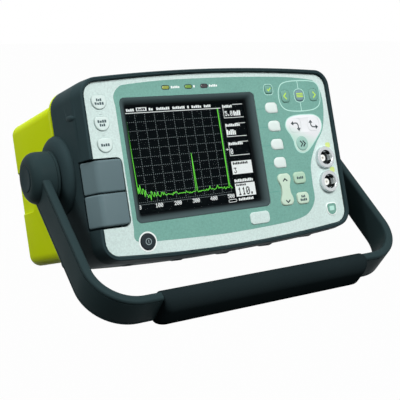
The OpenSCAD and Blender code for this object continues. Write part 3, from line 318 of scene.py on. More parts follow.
def loft(name: str, rings: Sequence[Ring], closed: bool = False) -> Piece:
    """Draws a closed skin through rings that have the same number of points.

    A circle is set onto the first ring, and its edge is extruded to each next one.

    Args:
        name: the piece's name.
        rings: the rings, in order.
        closed: True where the last ring joins the first, and False where both are filled.

    Returns:
        The new piece, upright and in millimetres.
    """
    bpy.ops.object.select_all(action="DESELECT")
    bpy.ops.mesh.primitive_circle_add(vertices=len(rings[0]), radius=1.0)
    piece = bpy.context.active_object
    piece.name = piece.data.name = name
    bpy.ops.object.mode_set(mode="EDIT")
    bpy.ops.mesh.select_mode(type="VERT")
    mesh = bmesh.from_edit_mesh(piece.data)
    order = mesh.verts.layers.int.new("order")
    mesh.verts.layers.int.new("step")
    mesh.verts.ensure_lookup_table()
    for i, vert in enumerate(mesh.verts):
        vert[order] = i
        vert.co = rings[0][i]
    every = list(rings[1:]) + ([rings[0]] if closed else [])
    for step, ring in enumerate(every, 1):
        bpy.ops.mesh.extrude_edges_indiv()
        mesh = bmesh.from_edit_mesh(piece.data)
        order = mesh.verts.layers.int["order"]
        step_of = mesh.verts.layers.int["step"]
        for vert in mesh.verts:
            if vert.select:
                vert.co = ring[vert[order]]
                vert[step_of] = step
    if closed:
        bpy.ops.mesh.select_all(action="SELECT")
        bpy.ops.mesh.remove_doubles(threshold=0.0005)
    else:
        for end in (0, len(every)):
            bpy.ops.mesh.select_all(action="DESELECT")
            mesh = bmesh.from_edit_mesh(piece.data)
            step_of = mesh.verts.layers.int["step"]
            for vert in mesh.verts:
                vert.select = vert[step_of] == end
            mesh.select_flush_mode()
            bmesh.update_edit_mesh(piece.data)
            bpy.ops.mesh.edge_face_add()
    bpy.ops.mesh.select_all(action="SELECT")
    bpy.ops.mesh.normals_make_consistent(inside=False)
    bpy.ops.object.mode_set(mode="OBJECT")
    for layer in ("order", "step"):
        piece.data.attributes.remove(piece.data.attributes[layer])
    return piece


def prism(name: str, loop: Loop, y0: float, y1: float) -> Piece:
    """Draws a loop as a solid from depth y0 to y1."""
    return loft(name, [at_y(loop, y0), at_y(loop, y1)])


def turned(name: str, profile: Sequence[Flat], place: Placing, steps: int = 64,
           closed: bool = False) -> Piece:
    """Turns a profile round an axis.

    Args:
        name: the piece's name.
        profile: radius and height of each ring.
        place: gives the point for two coordinates across the axis and one along it.
        steps: points in each ring.
        closed: True for a piece with a hole through it.

    Returns:
        The new piece.
    """
    turns = [(math.cos(2 * math.pi * i / steps), math.sin(2 * math.pi * i / steps))
             for i in range(steps)]
    return loft(name, [[place(r * c, r * s, h) for c, s in turns] for r, h in profile], closed)


def along_y(centre: Flat) -> Placing:
    """Gives the placing for a turned piece whose axis runs back from the panel."""
    return lambda a, b, h: (centre[0] + a, h, centre[1] + b)


def along_pivot(side: int) -> Placing:
    """Gives the placing for a piece turned round the pivots' line, out from one side."""
    return lambda a, b, h: (side * h, PIVOT[0] + a, PIVOT[1] + b)


def film(name: str, loops: Sequence[Loop], y0: float, y1: float, soft: float = 0.0
         ) -> Piece:
    """Draws a flat piece with holes, as a filled curve that is given a thickness.

    Args:
        name: the piece's name.
        loops: outer loops, with each hole as a loop inside one.
        y0: depth of its front.
        y1: depth of its back.
        soft: radius of its rounded edges.

    Returns:
        The new piece.
    """
    curve = bpy.data.curves.new(name, "CURVE")
    curve.dimensions = "2D"
    curve.fill_mode = "BOTH"
    curve.extrude = (y1 - y0) / 2 - soft
    curve.bevel_depth = soft
    curve.bevel_resolution = 2
    curve.offset = -soft
    for loop in loops:
        spline = curve.splines.new("POLY")
        spline.points.add(len(loop) - 1)
        spline.points.foreach_set("co", [c for x, z in loop for c in (x, z, 0.0, 1.0)])
        spline.use_cyclic_u = True
    piece = bpy.data.objects.new(name, curve)
    bpy.context.scene.collection.objects.link(piece)
    take(piece)
    bpy.ops.object.convert(target="MESH")
    piece = bpy.context.active_object
    piece.data.name = name
    # The curve lies flat, so its Y becomes Z and its middle goes to the wanted depth
    piece.data.transform(Matrix(((1, 0, 0, 0), (0, 0, -1, (y0 + y1) / 2), (0, 1, 0, 0),
                                 (0, 0, 0, 1))))
    bpy.ops.object.mode_set(mode="EDIT")
    bpy.ops.mesh.select_all(action="SELECT")
    bpy.ops.mesh.remove_doubles(threshold=0.0005)
    bpy.ops.mesh.normals_make_consistent(inside=False)
    bpy.ops.object.mode_set(mode="OBJECT")
    return piece


def plates(name: str, quads: Iterable[Loop], y0: float, y1: float) -> Piece:
    """Draws many small four-sided blocks as one piece.

    Args:
        name: the piece's name.
        quads: four corners of each block, in X and Z and anticlockwise.
        y0: depth of their fronts.
        y1: depth of their backs.

    Returns:
        The new piece.
    """
    spots: list[Place] = []
    faces: list[tuple[int, ...]] = []
    for quad in quads:
        n = len(spots)
        spots += [(x, y, z) for y in (y0, y1) for x, z in quad]
        faces += [tuple(n + k for k in f) for f in
                  ((0, 1, 2, 3), (7, 6, 5, 4), (0, 4, 5, 1), (1, 5, 6, 2), (2, 6, 7, 3),
                   (3, 7, 4, 0))]
    mesh = bpy.data.meshes.new(name)
    mesh.from_pydata(spots, [], faces)
    piece = bpy.data.objects.new(name, mesh)
    bpy.context.scene.collection.objects.link(piece)
    return piece


def block(x0: float, z0: float, x1: float, z1: float) -> Loop:
    """Gives the corners of an upright block."""
    return [(x0, z0), (x1, z0), (x1, z1), (x0, z1)]


def strokes(spots: Sequence[Flat], w: float) -> list[Loop]:
    """Gives one block of width w for each stretch of a line."""
    out = []
    for a, b in zip(spots, spots[1:]):
        run = (Vector(b) - Vector(a)).normalized() * (w / 2)
        side = Vector((run.y, -run.x))
        start, end = Vector(a) - run * 0.6, Vector(b) + run * 0.6
        out.append([tuple(start + side), tuple(end + side), tuple(end - side),
                    tuple(start - side)])
    return out


def scaled(loop: Loop, d: float) -> Loop:
    """Draws a loop in by d at its widest places, with its shape kept."""
    x0, x1 = min(x for x, _ in loop), max(x for x, _ in loop)
    z0, z1 = min(z for _, z in loop), max(z for _, z in loop)
    cx, cz, w, h = (x1 + x0) / 2, (z1 + z0) / 2, x1 - x0, z1 - z0
    return [(cx + (x - cx) * (w - 2 * d) / w, cz + (z - cz) * (h - 2 * d) / h)
            for x, z in loop]


def stacked(loop: Loop, steps: Sequence[Flat]) -> list[Ring]:
    """Gives a ring for each step: how far the loop is drawn in, and its depth."""
    return [at_y(scaled(loop, d) if d else loop, y) for d, y in steps]


def combine(piece: Piece, how: str, *tools: Piece) -> Piece:
    """Adds tools to a piece, cuts them from it or keeps what they share with it.

    Args:
        piece: the piece that stays.
        how: UNION, DIFFERENCE or INTERSECT.
        tools: pieces that are used up.

    Returns:
        The piece.
    """
    for tool in tools:
        modifier = piece.modifiers.new("carve", "BOOLEAN")
        modifier.operation = how
        modifier.solver = "EXACT"
        modifier.object = tool
        take(piece)
        bpy.ops.object.modifier_apply(modifier=modifier.name)
        bpy.data.objects.remove(tool)
    return piece


def joined(name: str, pieces: Sequence[Piece]) -> Piece:
    """Makes several meshes one piece."""
    take(pieces[0])
    for piece in pieces:
        piece.select_set(True)
    if len(pieces) > 1:
        bpy.ops.object.join()
    pieces[0].name = pieces[0].data.name = name
    return pieces[0]


# Finishes

def linear(hex_colour: str, alpha: float = 1.0) -> tuple[float, float, float, float]:
    """Turns an sRGB hex value into the linear colour that a shader takes."""
    def one(c: float) -> float:
        return c / 12.92 if c <= 0.04045 else ((c + 0.055) / 1.055) ** 2.4
    r, g, b = (one(int(hex_colour[i:i + 2], 16) / 255) for i in (1, 3, 5))
    return (r, g, b, alpha)


Value = Union[float, int, tuple, Vector, Socket]


def add_node(tree: Tree, kind: str, inputs: dict[Union[str, int], Value],
             **settings: Union[str, float, bool]) -> bpy.types.Node:
    """Adds a node with its settings and links.

    Args:
        tree: the material's or world's tree.
        kind: the node's type.
        inputs: for each input, a value or the socket that feeds it.
        settings: the node's own properties.

    Returns:
        The new node.
    """
    node = tree.nodes.new(kind)
    for name, value in settings.items():
        setattr(node, name, value)
    for name, value in inputs.items():
        if isinstance(value, Socket):
            tree.links.new(value, node.inputs[name])
        else:
            node.inputs[name].default_value = value
    return node


def blank(name: str) -> tuple[Material, Tree]:
    """Starts a material with an empty tree."""
    material = bpy.data.materials.new(name)
    material.use_nodes = True
    material.node_tree.nodes.clear()
    return material, material.node_tree


def noise(tree: Tree, place: Socket, size: float, detail: float = 2.0, rough: float = 0.5
          ) -> Socket:
    """Gives noise whose patches have a size in millimetres."""
    return add_node(tree, "ShaderNodeTexNoise", {
        "Vector": place, "Scale": 1 / (MM * size), "Detail": detail,
        "Roughness": rough}).outputs["Fac"]


def spread(tree: Tree, value: Value, low: float, high: float, start: float, end: float
           ) -> Socket:
    """Maps a value from the range low to high onto start to end."""
    return add_node(tree, "ShaderNodeMapRange", {
        0: value, 1: low, 2: high, 3: start, 4: end}).outputs[0]


def dimmed(tree: Tree, colour: Value, share: Socket) -> Socket:
    """Multiplies a colour by a share."""
    return add_node(tree, "ShaderNodeVectorMath", {0: colour, 3: share},
                    operation="SCALE").outputs[0]


def blended(tree: Tree, share: Socket, first: str, second: str) -> Socket:
    """Mixes two colours by a share."""
    return add_node(tree, "ShaderNodeMix", {0: share, 6: linear(first), 7: linear(second)},
                    data_type="RGBA").outputs[2]


@dataclass(frozen=True)
class Finish:
    """A material that is made when a piece first asks for it.

    Attributes:
        name: the material's common name and how its surface was made.
        colour: its main colour.
    """

    name: str
    colour: str

    def shader(self, tree: Tree, place: Socket) -> bpy.types.Node:
        """Adds the nodes that shade a place of the object and gives the last one."""
        raise NotImplementedError

    def material(self) -> Material:
        """Gives the material, made once."""
        if self.name not in bpy.data.materials:
            _, tree = blank(self.name)
            place = add_node(tree, "ShaderNodeTexCoord", {}).outputs["Object"]
            surface = self.shader(tree, place).outputs[0]
            add_node(tree, "ShaderNodeOutputMaterial", {"Surface": surface})
        return bpy.data.materials[self.name]


@dataclass(frozen=True)
class Moulded(Finish):
    """Plastic, rubber or ink, with a fine grain and two tones.

    Attributes:
        second: the tone that it drifts to over a piece.
        roughness: mean roughness.
        grain: size in millimetres of the surface's grain.
        relief: height of that grain in millimetres.
        drift: size in millimetres of the patches of the second tone.
        speckle: share of a fine speckle in the colour, 0 for none.
        specular: specular level.
        coat: share of a clear coat.
        fade: upright places where the colour gives way to the second tone, or None; on the bezel
            this fade is painted shade.
    """

    second: str
    roughness: float = 0.5
    grain: float = 0.6
    relief: float = 0.02
    drift: float = 40.0
    speckle: float = 0.0
    specular: float = 0.5
    coat: float = 0.0
    fade: Union[tuple[Place, Place], None] = None

    def shader(self, tree: Tree, place: Socket) -> bpy.types.Node:
        """Adds two tones, a grain and an uneven gloss."""
        patches = noise(tree, place, self.drift, 3.0, 0.55)
        share = patches
        # A fade along a line: printed on the white film, painted shade on the bezel
        if self.fade:
            start, end = (STANCE.point(*p) for p in self.fade)
            run = end - start
            along = add_node(tree, "ShaderNodeVectorMath", {
                0: place, 1: run / run.length_squared}, operation="DOT_PRODUCT")
            first = start.dot(run) / run.length_squared
            share = spread(tree, along.outputs["Value"], first, first + 1, 0.0, 1.0)
        colour = blended(tree, share, self.colour, self.second)
        grain = noise(tree, place, self.grain, 2.0, 0.6)
        if self.speckle:
            fine = spread(tree, grain, 0.3, 0.7, 1 - self.speckle, 1 + self.speckle)
            colour = dimmed(tree, colour, fine)
        rough = spread(tree, patches, 0.3, 0.7, self.roughness - 0.06, self.roughness + 0.06)
        bump = add_node(tree, "ShaderNodeBump", {
            "Height": grain, "Strength": 0.6, "Distance": self.relief * MM})
        return add_node(tree, "ShaderNodeBsdfPrincipled", {
            "Base Color": colour, "Roughness": rough, "IOR": 1.5,
            "Specular IOR Level": self.specular, "Coat Weight": self.coat,
            "Coat Roughness": 0.25, "Normal": bump.outputs["Normal"]})


class Grain(Enum):
    """How a metal's surface was worked, as the stretch of its marks."""

    TURNED = (1, 0.15, 1)
    PLATED = (1, 1, 1)
    ROLLED = (0.08, 1, 1)


@dataclass(frozen=True)
class Metal(Finish):
    """Metal with the marks of how it was worked.

    Attributes:
        roughness: mean roughness.
        grain: how it was worked.
        line: spacing in millimetres of the marks, coarser than real so that they show.
    """

    roughness: float
    grain: Grain
    line: float = 0.5

    def shader(self, tree: Tree, place: Socket) -> bpy.types.Node:
        """Adds marks that change the tint, the gloss and the height."""
        laid = add_node(tree, "ShaderNodeMapping", {"Vector": place, "Scale": self.grain.value})
        marks = noise(tree, laid.outputs[0], self.line, 3.0)
        rough = spread(tree, marks, 0.3, 0.7, self.roughness * 0.8, self.roughness * 1.25)
        colour = dimmed(tree, linear(self.colour)[:3], spread(tree, marks, 0.2, 0.8, 0.93, 1.03))
        bump = add_node(tree, "ShaderNodeBump", {
            "Height": marks, "Strength": 0.25, "Distance": 0.01 * MM})
        return add_node(tree, "ShaderNodeBsdfPrincipled", {
            "Base Color": colour, "Metallic": 1.0, "Roughness": rough,
            "Normal": bump.outputs["Normal"]})


@dataclass(frozen=True)
class Lit(Finish):
    """Lit or unlit dots of the display, which glow a little unevenly.

    Attributes:
        strength: how strongly they glow.
    """

    strength: float

    def shader(self, tree: Tree, place: Socket) -> bpy.types.Node:
        """Adds a glow with the faint unevenness of a panel whose dots are 0.35 mm apart."""
        level = spread(tree, noise(tree, place, 0.7), 0.2, 0.8, 0.9, 1.08)
        colour = dimmed(tree, linear(self.colour)[:3], level)
        return add_node(tree, "ShaderNodeBsdfPrincipled", {
            "Base Color": linear("#030404"), "Roughness": 0.6, "Specular IOR Level": 0.0,
            "Emission Color": colour, "Emission Strength": self.strength})


@dataclass(frozen=True)
class Clear(Finish):
    """Clear sheet whose coating all but stops its reflections.

    Attributes:
        roughness: least roughness of its face.
        specular: specular level, low on a coated sheet.
    """

    roughness: float
    specular: float

    def shader(self, tree: Tree, place: Socket) -> bpy.types.Node:
        """Adds a clear face with a trace of unevenness."""
        rough = spread(tree, noise(tree, place, 0.4), 0.3, 0.7, self.roughness,
                       self.roughness + 0.01)
        return add_node(tree, "ShaderNodeBsdfPrincipled", {
            "Base Color": linear(self.colour), "Roughness": rough, "IOR": 1.03,
            "Specular IOR Level": self.specular, "Transmission Weight": 1.0})


def ink(tone: str, colour: str, second: str) -> Moulded:
    """Gives a screen ink."""
    return Moulded("screen ink, " + tone, colour, second, roughness=0.55, specular=0.15)


def rubber(tone: str, colour: str, second: str, drift: float = 8) -> Moulded:
    """Gives a key's silicone rubber, which reflects little."""
    return Moulded("moulded silicone rubber, " + tone, colour, second, roughness=0.55,
                   grain=0.5, relief=0.01, drift=drift, specular=0.25)


def lens(tone: str, colour: str, second: str) -> Moulded:
    """Gives a small lens's glossy acrylic."""
    return Moulded("moulded acrylic, " + tone, colour, second, roughness=0.2, drift=2,
                   relief=0.0, coat=0.4)


# ABS from a spark-eroded mould, dark blue-grey and matt
HOUSING_ABS = Moulded("moulded ABS, dark grey", "#334447", "#2D3C3F", grain=0.7, relief=0.025,
                      specular=0.01)
# The handle's glass-filled nylon is a little darker and has a trace more sheen
HANDLE_NYLON = Moulded("moulded nylon, dark grey", "#2C3B3D", "#263436", roughness=0.42,
                       specular=0.015)
# Lime blend of polycarbonate and ABS, even in tone
LIME_ABS = Moulded("moulded polycarbonate blend, lime", "#D4E808", "#CBE006", roughness=0.42,
                   grain=0.8, drift=70, specular=0.01)
# Thermoplastic rubber over the bar, nearly black and without sheen
GRIP_RUBBER = Moulded("moulded thermoplastic rubber, charcoal", "#20292B", "#1B2426",
                      grain=0.9, relief=0.03, specular=0.0)
# Pale mint ABS of the panel, with a fine fleck
PANEL_ABS = Moulded("moulded ABS, pale mint", "#D2E4E0", "#C9DCD8", roughness=0.55, grain=1.4,
                    relief=0.015, drift=25, speckle=0.09, specular=0.15)
# Screen-printed polyester film, with the fine tooth of its textured face
GREEN_FILM = Moulded("printed polyester film, green", "#79AA9E", "#6FA196", grain=1.4,
                     relief=0.015, drift=22, speckle=0.10, specular=0.15)
# The field of the turn keys is white above and runs into mint towards the round key
WHITE_FILM = Moulded("printed polyester film, white into mint", "#E9EBEE", "#C4E0D5",
                     roughness=0.42, grain=0.8, relief=0.01, specular=0.15,
                     fade=((88.0, 0.0, 93.0), (84.0, 0.0, 84.0)))
MINT_INK = ink("mint", "#BDE6DB", "#B4E0D4")
SHADE_INK = ink("deep green", "#5F9C90", "#629F93")
PALE_INK = ink("white", "#F4F9F7", "#EAF3F0")
STEEL_INK = ink("light grey", "#8FA1A4", "#99A9AB")
SLATE_INK = ink("soft slate", "#42555A", "#3C4F54")
LIME_INK = ink("lime", "#C3E95A", "#B9E04A")
DARK_INK = ink("slate", "#26363B", "#213035")
YELLOW_INK = ink("pale yellow", "#D3E48F", "#CDE085")
WHITE_KEY = rubber("white", "#DFE9E6", "#D6E4DF")
PALE_KEY = rubber("panel white", "#D6E6E2", "#CFE0DC")
MINT_KEY = rubber("mint", "#B4D3BB", "#ABCBB3")
LEAF_KEY = rubber("pale leaf", "#CBE0CD", "#C2D9C5")
FAST_KEY = rubber("sea green", "#9FC6BA", "#94BDB1")
GREEN_KEY = rubber("green", "#76A698", "#6D9D90", 6)
BLUE_KEY = rubber("grey blue", "#6E8A95", "#7E9CA2", 5)
BLACK_KEY = Moulded("moulded silicone rubber, black", "#1F2A2F", "#192226", grain=0.5,
                    relief=0.01, specular=0.15)
# Paddles: grey ABS, lighter than the housing
PADDLE_ABS = Moulded("moulded ABS, mid grey", "#62767A", "#5C6F74", roughness=0.42, grain=0.7,
                     specular=0.08)
BLACK_ABS = Moulded("moulded ABS, black", "#14191B", "#101415", roughness=0.45, relief=0.015,
                    specular=0.1)
# The bezel's matt slope is slate at its rim; its fade to nearly black beside the screen is
# painted shade
BEZEL_ABS_PAINTED_SHADE = Moulded("moulded ABS, slate with painted shade", "#0B1012", "#4C5C5E", roughness=0.55,
                    specular=0.04, fade=((0.0, 3.6, 80.0), (0.0, -0.6, 80.0)))
BUTTON_NYLON = Moulded("moulded nylon, slate", "#2E3D41", "#29373A", roughness=0.42,
                       specular=0.01)
BLACK_RUBBER = Moulded("moulded rubber, black", "#191C1D", "#141718", roughness=0.7,
                       grain=0.9, relief=0.03, specular=0.12)
INSULATOR = Moulded("turned fluoropolymer, white", "#F2F3EE", "#E8EAE4", roughness=0.4,
                    grain=0.4, relief=0.005, specular=0.35)
TRAY_PLASTIC = Moulded("moulded polypropylene, grey", "#8A9294", "#7F8789", roughness=0.55)
PACK_PLASTIC = Moulded("heat-shrunk PVC, dark", "#2B3033", "#25292C", roughness=0.35,
                       grain=1.5, relief=0.05, specular=0.45)
BOARD = Moulded("solder-masked glass epoxy, green", "#1F6B45", "#1A5C3B", roughness=0.35,
                grain=1.2, coat=0.3)
OLIVE_LENS = lens("olive", "#9AA63A", "#7F8F2E")
GREEN_LENS = lens("leaf green", "#6F9A2E", "#5B8526")
RED_LENS = lens("unlit dark red", "#2C2024", "#1E1A1D")
CHROME = Metal("chrome-plated brass", "#CDD3D5", 0.2, Grain.PLATED, 0.8)
STEEL = Metal("turned stainless steel", "#B9BDC0", 0.3, Grain.TURNED)
SHEET = Metal("rolled aluminium sheet", "#B8BCBF", 0.38, Grain.ROLLED, 0.8)
GOLD = Metal("gold-plated brass", "#D8B060", 0.25, Grain.PLATED)
WINDOW = Clear("anti-reflection coated acrylic sheet", "#F7FAF9", 0.0, 0.12)
DARK_SCREEN = Lit("display glass, unlit", "#0E1316", 0.6)
GRID_DOTS = Lit("display dots, grid", "#8C979A", 0.9)
TRACE_DOTS = Lit("display dots, trace", "#72EA4C", 1.05)
GLOW_DOTS = Lit("display dots, trace edge", "#1C5A15", 0.8)
WHITE_DOTS = Lit("display dots, white", "#F2F6F6", 0.97)


def settle(piece: Piece, finish: Finish, body: str, slot: str, nodes: Sequence[str] = (),
           angle: float = 35) -> Piece:
    """Shades a piece, gives it its finish and its place, puts it on its body and hides the nodes
    that it stands for.

    Args:
        piece: an upright piece in millimetres.
        finish: its finish.
        body: the body that it rides on.
        slot: the record's material slot; not used.
        nodes: the nodes that it stands for.
        angle: edges sharper than this stay sharp.

    Returns:
        The piece in the row frame.
    """
    take(piece)
    bpy.ops.object.shade_smooth_by_angle(angle=math.radians(angle))
    piece.data.transform(STANCE.matrix())
    piece.data.materials.clear()
    piece.data.materials.append(finish.material())
    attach(piece, body)
    if nodes:
        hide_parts(*nodes)
    log.info("%s: %d faces, on %s", piece.name, len(piece.data.polygons), body)
    return piece


# The front housing

@dataclass(frozen=True)
class FrontHousing:
    """The dark front moulding with its lip, grip ribs, side nubs and pivot bosses."""

    front: Bowed = Bowed(119.8, 3.2, 150.4, 5.6, 5.0, 14.5)
    shoulder: Bowed = Bowed(122.7, 1.3, 150.54, 5.6, 5.0, 14.7)
    rear: Bowed = Bowed(124.0, 0.0, 151.0, 5.6, 5.0, 16.0)
    lip_edge: float = -1.8
    shoulder_y: float = 10.0
    rear_y: float = 48.5
    wall: float = 3.0
    wall_y: float = 5.4
    pocket_y: float = 2.4
    recess_x: float = -92.7
    recess_low: float = 32.51
    recess_high: float = 84.99
    recess_y: float = 12.3
    hub_r: float = 20.5
    boss_r: float = 31.5
    boss_base: float = 119.5
    boss_face: float = 130.0
    boss_h: float = 6.0
    rib_r: float = 7.0
    rib_h: float = 1.1
    low_rib_h: float = 0.35
    rib_step: float = 0.355 * 124.0
    rib_y: Flat = (14.0, 40.0)
    rib_taper: float = 7.0
    bore_r: float = 5.2
    nub_x: float = 121.0
    nub_y: Flat = (6.0, 24.0)
    nub_z: float = 117.78

    def outline(self, y: float) -> Bowed:
        """Gives the outer outline at a depth, with the shoulder rounded."""
        if y <= self.lip_edge:
            return self.front
        if y >= self.rear_y:
            return self.rear
        if y < self.shoulder_y:
            t = (y - self.lip_edge) / (self.shoulder_y - self.lip_edge)
            return self.front.towards(self.shoulder, t)
        t = (y - self.shoulder_y) / (self.rear_y - self.shoulder_y)
        return self.shoulder.towards(self.rear, t)

    def outer_rings(self) -> list[Ring]:
        """Gives the outside from the lip's inner edge to the joint."""
        # The lip carries a fine bead: two rounded lands with a groove between them
        rings = [at_y(self.front.inset(d).loop(), y) for d, y in (
            (2.85, -2.6), (2.4, -3.0), (1.95, -3.0), (1.8, -2.6), (1.55, -2.6), (1.4, -3.0),
            (1.1, -3.0), (0.6, -2.88), (0.2, -2.5), (0.0, -1.8))]
        rings += [at_y(self.outline(y).loop(), y) for y in (
            -0.6, 1.5, 4.0, 6.5, 8.5, 9.6, 10.4, 12.0, 16.0, 24.0, 34.0, 44.0, 47.9)]
        return rings + [at_y(self.rear.inset(0.35).loop(), self.rear_y)]

    def shell(self) -> Piece:
        """Makes the hollow shell, closed all round its section."""
        pocket, ledge = self.front.inset(3.1).loop(), self.front.inset(9.3).loop()
        inner, back = self.front.inset(self.wall), self.rear.inset(self.wall)
        rings = [at_y(pocket, self.pocket_y), at_y(pocket, -1.9)] + self.outer_rings()
        rings += [at_y(back.loop(), self.rear_y), at_y(inner.towards(back, 0.5).loop(), 27.0),
                  at_y(inner.loop(), self.wall_y), at_y(ledge, self.wall_y),
                  at_y(ledge, self.pocket_y)]
        return loft("front_shell", rings, closed=True)

    def recess(self, grow: float, y0: float, y1: float) -> Piece:
        """Makes the room for the paddles, open at the left."""
        high, low = self.recess_high + grow, self.recess_low - grow
        x, left, r = self.recess_x + grow, -150.0, 4.5 + grow
        loop = corners([(x, low, r), (x, high, r), (left, high, 0), (left, low, 0)], 8)
        return prism("recess", loop, y0, y1)

    def liner(self) -> Piece:
        """Makes the walls of the paddle recess, trimmed to the housing's outside."""
        solid = loft("outside", [at_y(self.front.inset(2.0).loop(), -2.5)]
                     + [at_y(self.outline(y).inset(0.05).loop(), y)
                        for y in (-1.7, 4.0, 9.5, 14.0, 20.0)])
        return combine(self.recess(2.2, 2.45, 14.5), "INTERSECT", solid)

    def rib(self, x: float, z: float) -> Piece:
        """Makes one tapered grip rib, lying along the depth."""
        (y0, y1), r, taper = self.rib_y, self.rib_r, self.rib_taper
        tip = r - 2 * self.rib_h
        profile = [(tip, y0), (r - 0.25, y0 + taper * 0.85), (r, y0 + taper), (r, y1 - taper),
                   (r - 0.25, y1 - taper * 0.85), (tip, y1)]
        return turned("rib", profile, along_y((x, z)), 40)

    def nub(self, side: int) -> Piece:
        """Makes the small ramp on one side wall, which rises by 8 degrees to the back."""
        y0, y1 = self.nub_y
        lean = math.tan(math.radians(8))

        def place(a: float, b: float, h: float) -> Place:
            return (side * self.nub_x + a, h, self.nub_z + b + (h - y0) * lean)

        profile = [(0.6, y0), (2.4, y0 + 4.0), (2.95, y0 + 7.0), (2.95, y1 - 5.0),
                   (2.3, y1 - 2.0), (0.6, y1)]
        return turned("nub", profile, place, 32)

    def boss(self, side: int) -> Piece:
        """Makes one pivot boss, flared onto the side wall."""
        r, flare = self.boss_r, self.boss_r - self.hub_r
        profile = [(r - 0.02, self.boss_base), (r, self.boss_face - self.boss_h - 0.1)]
        for i in range(1, 11):
            a = math.pi / 2 * i / 10
            profile.append((self.hub_r + flare * math.cos(a),
                            self.boss_face - self.boss_h + self.boss_h * math.sin(a)))
        profile += [(self.bore_r, self.boss_face), (self.bore_r, self.boss_base)]
        return turned("boss", profile, along_pivot(side), 96, closed=True)

    def build(self) -> None:
        """Builds the housing and stands it for its node."""
        piece = self.shell()
        combine(piece, "UNION", self.liner())
        for i in range(-2, 3):
            x = i * self.rib_step
            combine(piece, "UNION", self.rib(x, self.rear.top(x) - self.rib_r + self.rib_h),
                    self.rib(x, self.rear.base(x) + self.rib_r - self.low_rib_h))
        for side in (-1, 1):
            combine(piece, "UNION", self.nub(side), self.boss(side))
        combine(piece, "DIFFERENCE", self.recess(0.0, -5.0, self.recess_y))
        for z in PADDLE_STEMS.values():
            hole = turned("stem_hole", [(2.3, 11.8), (2.3, 15.2)], along_y((STEM_X, z)), 24)
            combine(piece, "DIFFERENCE", hole)
        piece.name = "housing_front"
        settle(piece, HOUSING_ABS, ROOT, "dark_housing_plastic", ["front_housing"], angle=32)


# The rear case

@dataclass(frozen=True)
class RearCase:
    """The lime rear moulding: mouth, collar and box with rounded edges."""

    mouth: Bowed = Bowed(124.0, 0.0, 151.0, 5.6, 5.0, 16.0)
    box: Bowed = Bowed(122.5, 13.0, 140.0, 0.0, 0.0, 10.0)
    mouth_y: float = 49.3
    mouth_d: float = 2.6
    collar_d: float = 8.0
    edge_r: float = 6.0
    wall: float = 3.0
    rear_wall: float = 4.0
    cover: Flat = (178.0, 86.0)
    opening: Flat = (148.0, 76.0)
    cover_d: float = 2.2
    finger: Flat = (40.0, 36.83)
    finger_at: Flat = (138.5, 78.405)

    def rings(self) -> list[Ring]:
        """Gives the rings from the inner rear wall out round the mouth to the rear face."""
        inside, y0 = self.box.inset(self.wall).loop(), self.mouth_y
        rings = [at_y(inside, y) for y in (REAR_Y - self.rear_wall, 62.0, y0 + 1.0, y0)]
        rings += [at_y(self.mouth.inset(0.4).loop(), y0), at_y(self.mouth.loop(), y0 + 0.4),
                  at_y(self.mouth.loop(), y0 + self.mouth_d)]
        for i in range(1, 13):
            t = i / 12
            # A quick fall behind the mouth that eases into the box
            fall = 1 - (1 - t) ** 2.2
            rings.append(at_y(self.mouth.towards(self.box, fall).loop(),
                              y0 + self.mouth_d + self.collar_d * t))
        rings += [at_y(self.box.loop(), y) for y in (75.0, 100.0, 125.0, REAR_Y - self.edge_r)]
        for i in range(1, 9):
            a = math.pi / 2 * i / 8
            rings.append(at_y(self.box.inset(self.edge_r * (1 - math.cos(a))).loop(),
                              REAR_Y - self.edge_r * (1 - math.sin(a))))
        return rings

    def side_room(self, side: int) -> list[Piece]:
        """Makes the cutters for one boss and one finger recess."""
        boss = turned("boss_room", [(31.9, 119.0), (31.9, 130.0)], along_pivot(side), 96)
        loop = rounded(*self.finger, 6.0, self.finger_at)
        rings = [[(side * x, y, z) for y, z in grown(loop, g)]
                 for x, g in ((120.3, -1.4), (120.6, -0.4), (121.4, 0.0), (123.6, 0.8))]
        return [boss, loft("finger_room", rings)]

    def build(self) -> None:
        """Builds the case and stands it for its node."""
        piece = loft("case_rear", self.rings())
        tools = [t for side in (-1, 1) for t in self.side_room(side)]
        for name, size, deep in (("cover_room", self.cover, self.cover_d),
                                 ("opening", self.opening, self.rear_wall + 1)):
            tools.append(prism(name, rounded(*size, 6.0, (0, COVER_Z)), REAR_Y - deep,
                               REAR_Y + 1))
        rooms = [("screw_room", (x, z), 3.9, 5.5, 32) for x in (-110.0, 110.0)
                 for z in (25.5, 127.5)]
        rooms += [("cover_screw_room", (x, COVER_Z), 2.8, 8, 24)
                  for x in (-COVER_SCREW_X, COVER_SCREW_X)]
        rooms += [("socket_room", DATA_SOCKET, 7.1, 8, 40),
                  ("socket_room", CHARGER_SOCKET, 4.8, 8, 40)]
        for name, at, r, deep, steps in rooms:
            tools.append(turned(name, [(r, REAR_Y - deep), (r, REAR_Y + 1)], along_y(at), steps))
        combine(piece, "DIFFERENCE", *tools)
        settle(piece, LIME_ABS, ROOT, "lime_case_plastic", ["rear_case"], angle=32)


# The panel and what is printed or let into it

